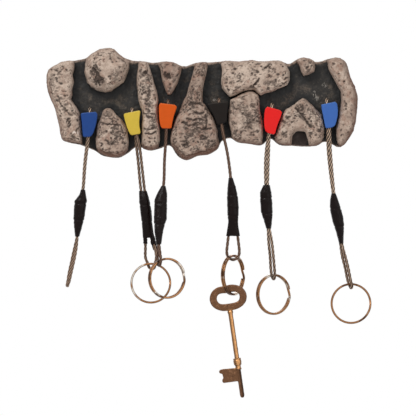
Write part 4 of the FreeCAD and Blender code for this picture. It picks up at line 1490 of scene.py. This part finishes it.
FOBS = (
    Fob("blue", NutPaint("blue", srgb(33, 66, 127), srgb(84, 116, 176)),
        sling=((-72.6, -18.5, -5.4, 2.2, 0), (-73.2, -18.5, -13.5, 2.2, 0),
               (-73.8, -18.5, -21.8, 2.1, 6), (-74.8, -18.5, -30, 1.9, 9),
               (-76.3, -18.5, -45, 1.7, 8), (-77.2, -18.5, -56, 1.6, 4),
               (-78.4, -18.5, -62.5, 1.7, 0), (-79.3, -18.5, -68.5, 1.7, 0),
               (-80.1, -18.5, -77, 1.6, 0), (-80.9, -18.5, -86.2, 1.6, 4),
               (-82.3, -18.5, -95, 2.6, 15), (-84.4, -18.5, -105, 3.5, 13),
               (-86.0, -18.5, -112.5, 3.0, 13)),
        loop=(-87.2, -18.5, -118.3, 2.4, 12), ferrule_at=7,
        sleeve=((-77.1, -55.7, 1.4, 2.95), (-77.3, -59.2, 2.2, 3.2), (-78.6, -63, 4.1, 3.7),
                (-79.4, -70, 3.7, 3.65), (-79.9, -75.5, 3.4, 3.6), (-80.5, -82, 2.1, 3.1),
                (-80.85, -86.1, 1.4, 2.95)),
        rope=Rope(tarnish=0.5)),
    Fob("yellow", NutPaint("yellow", srgb(204, 175, 66), srgb(232, 210, 120)),
        sling=((-45.2, -18.5, -5.3, 2.2, 0), (-44.0, -18.5, -12.8, 2.2, 0),
               (-42.6, -18.5, -20.2, 2.1, 10), (-41.3, -18.4, -28, 1.6, 38),
               (-40.2, -18.1, -37, 1.25, 58), (-39.3, -17.8, -46, 1.2, 74),
               (-38.1, -17.4, -56.6, 1.2, 90), (-36.9, -17.1, -64, 1.3, 90),
               (-36.1, -16.9, -71, 1.3, 90), (-35.3, -16.6, -79, 1.5, 90),
               (-34.3, -16.4, -87, 2.4, 80), (-33.3, -16.2, -95, 3.7, 62),
               (-32.9, -16.0, -101, 4.7, 45)),
        loop=(-32.4, -16.0, -107.2, 4.0, 40), ferrule_at=8,
        sleeve=((-38.1, -56.6, 2.55, 1.5), (-37.6, -60, 3.0, 2.6), (-37.0, -64, 3.5, 3.3),
                (-36.1, -70.2, 3.6, 3.3), (-35.4, -78, 3.5, 3.2), (-34.9, -83.2, 3.5, 2.3),
                (-34.3, -87, 3.8, 1.7)),
        legs=(((-36.6, -86, 1.4, 1.4), (-36.6, -90.7, 1.3, 1.3)),
              ((-32.1, -86, 1.5, 1.5), (-31.2, -90.5, 1.9, 1.9), (-30.0, -95, 1.4, 1.4))),
        rope=Rope(tarnish=0.6, darkening=0.16)),
    Fob("orange", NutPaint("orange", srgb(204, 84, 20), srgb(240, 132, 74)),
        sling=((-21.7, -18.5, 0.1, 2.2, 0), (-22.2, -18.5, -8, 2.2, 0),
               (-22.8, -18.7, -15.9, 2.1, 0), (-23.4, -20.0, -26.7, 1.9, 0),
               (-24.1, -22.0, -38, 1.7, 0), (-24.7, -24.6, -53, 1.6, 0),
               (-26.0, -26.1, -61, 1.7, 0), (-26.6, -27.4, -68.5, 1.7, 0),
               (-27.5, -29.1, -79, 1.7, 0), (-27.7, -30.8, -90.5, 1.7, 6),
               (-27.5, -31.7, -97, 3.0, 14)),
        loop=(-27.4, -32.5, -104.9, 3.9, 16), ferrule_at=7,
        sleeve=((-24.7, -53.3, 1.4, 2.95), (-25.5, -58, 3.2, 3.5), (-26.4, -62.4, 4.1, 3.7),
                (-26.7, -74.8, 4.1, 3.7), (-27.6, -81.9, 2.9, 3.3), (-27.7, -91, 1.6, 3.1)),
        rope=Rope(tarnish=0.85, darkening=0.72)),
    Fob("black", NutPaint("black", srgb(22, 16, 12), srgb(60, 52, 47), rough=0.4),
        sling=((11.4, -18.5, 0.9, 2.2, 0), (12.2, -18.5, -6.5, 2.2, 0),
               (13.1, -18.5, -13.6, 2.2, 0), (14.2, -18.5, -20.2, 2.1, 0),
               (16.0, -18.5, -28, 1.9, 0), (17.6, -18.5, -37, 1.8, 0),
               (19.0, -18.5, -48.5, 1.6, 0), (19.8, -18.5, -57, 1.6, 25),
               (20.3, -18.5, -65, 1.7, 45), (20.5, -18.5, -73, 1.8, 70),
               (20.5, -18.5, -80, 2.1, 88), (20.5, -18.5, -86, 3.0, 90),
               (20.5, -18.5, -92.5, 3.8, 90)),
        loop=(20.5, -18.5, -101.2, 4.0, 90), ferrule_at=8,
        sleeve=((19.0, -48.1, 1.4, 2.95), (19.6, -54, 2.6, 3.2), (20.1, -60, 3.6, 3.7),
                (20.4, -66, 3.7, 3.7), (20.5, -72.2, 3.6, 3.6), (20.5, -75.8, 3.1, 2.8),
                (20.5, -80, 3.5, 2.2), (20.5, -85.8, 4.5, 1.6)),
        rope=Rope(tarnish=0.85, darkening=0.52)),
    Fob("red", NutPaint("red", srgb(226, 34, 32), srgb(248, 92, 80)),
        sling=((45.8, -18.5, -2.4, 2.2, 0), (44.7, -18.5, -11, 2.2, 0),
               (43.8, -18.5, -19.6, 2.1, 5), (42.9, -18.5, -30, 1.9, 24),
               (42.4, -18.5, -41, 1.9, 28), (42.3, -18.5, -52.6, 1.7, 20),
               (42.2, -18.5, -59.5, 1.7, 8), (42.4, -18.5, -66.5, 1.7, 0),
               (43.0, -18.5, -74, 1.6, 2), (43.7, -18.5, -81, 1.6, 14),
               (44.7, -18.5, -90, 2.3, 26), (45.7, -18.5, -99.5, 3.3, 18)),
        loop=(46.8, -18.5, -113.8, 3.8, 16), ferrule_at=7,
        sleeve=((42.3, -52.7, 2.1, 2.9), (41.7, -57.2, 3.6, 3.6), (41.9, -60.8, 3.85, 3.7),
                (42.5, -71, 3.8, 3.65), (43.2, -75.6, 2.6, 3.2), (43.65, -80.9, 1.6, 2.95))),
    Fob("sky", NutPaint("sky", srgb(62, 102, 172), srgb(108, 144, 202)),
        sling=((81.4, -18.5, 0.7, 2.2, 0), (82.0, -18.5, -7.7, 2.2, 0),
               (82.6, -18.5, -15.9, 2.1, 12), (82.9, -18.5, -26.6, 1.9, 22),
               (83.5, -18.5, -35.5, 1.8, 23), (84.4, -18.5, -45, 1.7, 18),
               (85.8, -18.5, -57.9, 1.6, 9), (86.8, -18.5, -65.5, 1.7, 0),
               (88.2, -18.5, -72.5, 1.7, 0), (89.4, -18.5, -79.5, 1.7, 2),
               (90.8, -18.5, -90.5, 1.6, 14), (92.6, -18.5, -99.5, 2.6, 20),
               (94.6, -18.5, -107.5, 3.4, 15)),
        loop=(97.2, -18.5, -119.6, 3.6, 13), ferrule_at=8,
        sleeve=((85.85, -58.2, 1.4, 2.95), (86.2, -62, 2.5, 3.3), (87.0, -67.6, 3.6, 3.7),
                (88.2, -73, 3.8, 3.7), (89.3, -78.6, 3.4, 3.6), (90.1, -84, 2.3, 3.2),
                (90.85, -90.7, 1.4, 2.95))),
)


# --------------------------------------------------------------------------------------------
# Rings and key


@dataclass
class SplitRing:
    """Two turns of flat wire, crossing over once; the turn is about the vertical."""

    name: str
    centre: Point
    turn: float
    outer: float = 13.3
    thick: float = 1.4
    stack: float = 2.6
    gap: float = 0.06
    start: float = 15.0
    cross: float = 26.0
    steps: int = 220
    corners: int = 20
    end_scale: float = 0.72

    def _section(self, wide: float) -> tuple[list, list]:
        """Draws the wire's section, a square with rounded corners.

        Args:
            wide: its size along the ring's axis.

        Returns:
            Its points, and from 0 to 1 how near to a corner each of them is.
        """
        section, worn = [], []
        for corner in range(self.corners):
            angle = corner / self.corners * 2 * math.pi
            u, v = math.cos(angle), math.sin(angle)
            worn.append(min(1.0, abs(u * v) * 2.2) ** 2)
            section.append((math.copysign(abs(u) ** 0.5, u) * self.thick / 2,
                            math.copysign(abs(v) ** 0.5, v) * wide / 2))
        return section, worn

    def build(self, material: bpy.types.Material) -> None:
        """Winds the ring and lets it ride on its body.

        Args:
            material: the ring finish.
        """
        wide = (self.stack - self.gap) / 2
        section, worn = self._section(wide)
        middle = self.outer - self.thick / 2
        start, length = math.radians(self.start), math.radians(720 - self.cross)
        offset = (wide + self.gap) / 2
        rows = []
        for i in range(self.steps + 1):
            run = i / self.steps * length
            share = (run - math.pi * 2 + math.radians(self.cross)) / math.radians(self.cross)
            eased = min(1.0, max(0.0, share))
            y = offset * (2 * eased * eased * (3 - 2 * eased) - 1)
            angle = start + run
            full = min(1.0, i / 3, (self.steps - i) / 3)
            scale = self.end_scale + (1 - self.end_scale) * full
            for u, v in section:
                reach = middle + u * scale
                rows.append((reach * math.cos(angle), y + v * scale, reach * math.sin(angle)))
        piece = mesh_piece(f"{self.name}_key_ring", rows,
                           tube_faces(self.steps + 1, self.corners), material)
        # the wire's corners, where the ring finish paints dark reflection
        store(piece.data, "edge", np.tile(worn, self.steps + 1))
        piece.data.transform(Matrix.Translation(Vector(self.centre) * MM)
                             @ Matrix.Rotation(math.radians(self.turn), 4, "Z"))
        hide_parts(f"{self.name}_ring")
        fitted(piece, f"{self.name}_split_ring")


RINGS = (
    SplitRing("yellow", (-33.0, -16.0, -116.5), turn=0),
    SplitRing("orange", (-22.4, -29.84, -113.1), turn=28),
    SplitRing("black", (20.5, -18.5, -111.2), turn=58),
    SplitRing("red", (46.8, -18.5, -123.8), turn=35),
    SplitRing("sky", (97.2, -18.5, -129.7), turn=0),
)


@dataclass
class BitKey:
    """Old bit key, worn soft, hung on the black fob's ring; its parts are measured down it."""

    middle: Point = (17.35, -18.5, -126.0)
    lean: float = -8.2
    neck: float = 8.4
    swelling: float = 9.4
    grooves: tuple[float, ...] = (40.6, 43.3)
    waist: float = 45.2
    bit: float = 46.5
    tip: float = 63.4
    wear: float = 0.07
    seed: int = 77

    def build(self, material: bpy.types.Material) -> None:
        """Casts the key, turns its shank's details and marks its brighter shank, its darker tip and
        the painted shade on its sides.

        Args:
            material: the key finish.
        """
        piece = recast("bit_key", "hall_key", 0.22, 3, material)
        points, normals = read_points(piece.data)
        turn = math.radians(self.lean)
        down = np.array([-math.sin(turn), 0.0, -math.cos(turn)])
        run = (points - np.array(self.middle)) @ down
        across = (points - np.array(self.middle)) @ np.array([-down[2], 0.0, down[0]])
        aside = np.abs(across)
        stem = ramp(run, self.neck - 1.0, self.neck + 0.6) * (1 - ramp(aside, 2.9, 3.2))
        stem = stem * (1 - ramp(run, self.bit - 1.0, self.bit + 0.5))
        store(piece.data, "shank", stem)
        # painted shade: faces turned away from the front get darker
        side = 1 - ramp(normals[:, 0] * 0.17 - normals[:, 1] * 0.98, 0.80, 0.99)
        tip = ramp(run, self.bit, self.bit + 1.5) * (1 - ramp(aside, 2.4, 2.8))
        tip = tip * ramp(across, -0.4, 0.5)
        store(piece.data, "edge", np.maximum(side * (0.3 + 0.45 * stem), tip))
        turned = stem * ramp(np.abs(normals @ down), 0.8, 0.3)
        swell = 0.4 * np.exp(-((run - self.swelling) / 0.8) ** 2) * turned
        for groove in self.grooves:
            swell = swell - 0.28 * np.exp(-((run - groove) / 0.28) ** 2) * turned
        points = points + normals * swell[:, None]
        waist = np.exp(-((run - self.waist) / 1.3) ** 2) * (1 - ramp(aside, 2.3, 2.7))
        tail = np.clip((run - self.tip) / 2.2, 0.0, 1.0)
        axis = np.array(self.middle) + run[:, None] * down
        points = axis + (points - axis) * (1 - 0.2 * waist)[:, None]
        points = axis + (points - axis) * np.sqrt(1 - 0.85 * tail ** 2)[:, None]
        worn = rough(points, 2.4, 3, self.seed) + 0.6
        write_points(piece.data, points - normals * (self.wear * worn)[:, None])
        fitted(piece, "key")


# --------------------------------------------------------------------------------------------
# Studio


@dataclass(frozen=True)
class Softbox:
    """A square lamp that faces the plaque; its power is in watts."""

    name: str
    place: Point
    size: float
    power: float

    def hang(self, aim: Point) -> None:
        """Hangs the lamp where it belongs.

        Args:
            aim: the point that it is turned to.
        """
        data = bpy.data.lights.new(self.name, "AREA")
        data.shape = "SQUARE"
        data.size = self.size * MM
        data.energy = self.power
        lamp = bpy.data.objects.new(self.name, data)
        lamp.location = Vector(self.place) * MM
        way = Vector(aim) * MM - lamp.location
        lamp.rotation_euler = way.to_track_quat("-Z", "Y").to_euler()
        bpy.context.scene.collection.objects.link(lamp)


@dataclass(frozen=True)
class Studio:
    """Camera, lamps, pale floor and white surroundings."""

    eye: Point = (4.2, -3020.0, -67.6)
    lens: float = 399.4
    aim: Point = (0.0, -10.0, -30.0)
    lamps: tuple[Softbox, ...] = (
        Softbox("key_softbox", (-400.0, -850.0, 750.0), size=600.0, power=9.5),
        Softbox("fill_softbox", (750.0, -900.0, 150.0), size=800.0, power=1.8),
        Softbox("back_softbox", (100.0, 900.0, 500.0), size=900.0, power=4.5))
    floor_level: float = -300.0
    floor_side: float = 900.0
    floor_back: float = 500.0
    white: Colour = (1.0, 1.0, 1.0)
    daylight: Colour = (0.36, 0.36, 0.37)
    paper: Colour = (0.86, 0.86, 0.86)

    def build(self) -> None:
        """Sets up everything round the rack."""
        self._camera()
        self._world()
        self._floor()
        for lamp in self.lamps:
            lamp.hang(self.aim)
        bpy.context.scene.view_settings.view_transform = "Standard"
        log.info("studio ready")

    def _camera(self) -> None:
        """Puts the camera square in front of the rack."""
        data = bpy.data.cameras.new("camera")
        data.lens = self.lens
        data.sensor_width = 36.0
        camera = bpy.data.objects.new("camera", data)
        camera.location = Vector(self.eye) * MM
        camera.rotation_euler = (math.pi / 2, 0.0, 0.0)
        bpy.context.scene.collection.objects.link(camera)
        bpy.context.scene.camera = camera

    @staticmethod
    def _seen(kit: NodeKit) -> Signal:
        """Tells what the camera sees, also by way of metal and glass, from what lights the rack.

        Args:
            kit: the tree that asks.

        Returns:
            1 for what is seen, 0 for light.
        """
        rays = kit.node("ShaderNodeLightPath").outputs
        straight, glossy, through = (Signal(kit, rays[f"Is {way} Ray"])
                                     for way in ("Camera", "Glossy", "Transmission"))
        return straight.largest(glossy).largest(through)

    def _world(self) -> None:
        """Makes the surroundings white to look at and plain as light."""
        world = bpy.data.worlds.new("surroundings")
        bpy.context.scene.world = world
        world.use_nodes = True
        kit = NodeKit(world.node_tree)
        shown = kit.blend(self._seen(kit), self.daylight, self.white)
        kit.feed(kit.tree.nodes["Background"].inputs["Color"], shown)

    def _floor(self) -> None:
        """Lays the pale floor under the rack; it keeps the shadow and looks white."""
        kit = ShaderKit("pale_floor")
        kit.set(Base_Color=self.paper, Roughness=0.9)
        glow = kit.node("ShaderNodeEmission", None, {"Color": self.white})
        mix = kit.node("ShaderNodeMixShader", None, {0: self._seen(kit) * 0.8,
                                                     1: kit.surface.outputs[0],
                                                     2: glow.outputs[0]})
        kit.feed(kit.tree.nodes["Material Output"].inputs["Surface"], mix.outputs[0])
        side, level = self.floor_side, self.floor_level
        corners = [(-side, -side, level), (side, -side, level),
                   (side, self.floor_back, level), (-side, self.floor_back, level)]
        floor = mesh_piece("floor", corners, [(0, 1, 2, 3)], kit.material, smooth=False)


def main() -> None:
    """Builds the rack on its frame, piece by piece."""
    logging.basicConfig(level=logging.INFO, format="%(name)s: %(message)s")
    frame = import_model()
    nodes = frame["nodes"]
    zinc = ZincFinish().material()
    Plaque().build(nodes, zinc)
    wire, shrink = WireFinish().material(), ShrinkFinish().material()
    for seed, fob in enumerate(FOBS, start=1):
        fob.build(nodes, wire, shrink, zinc, seed)
    nickel = RingFinish().material()
    for ring in RINGS:
        ring.build(nickel)
    BitKey().build(KeyFinish().material())
    Studio().build()


if __name__ == "__main__":
    main()
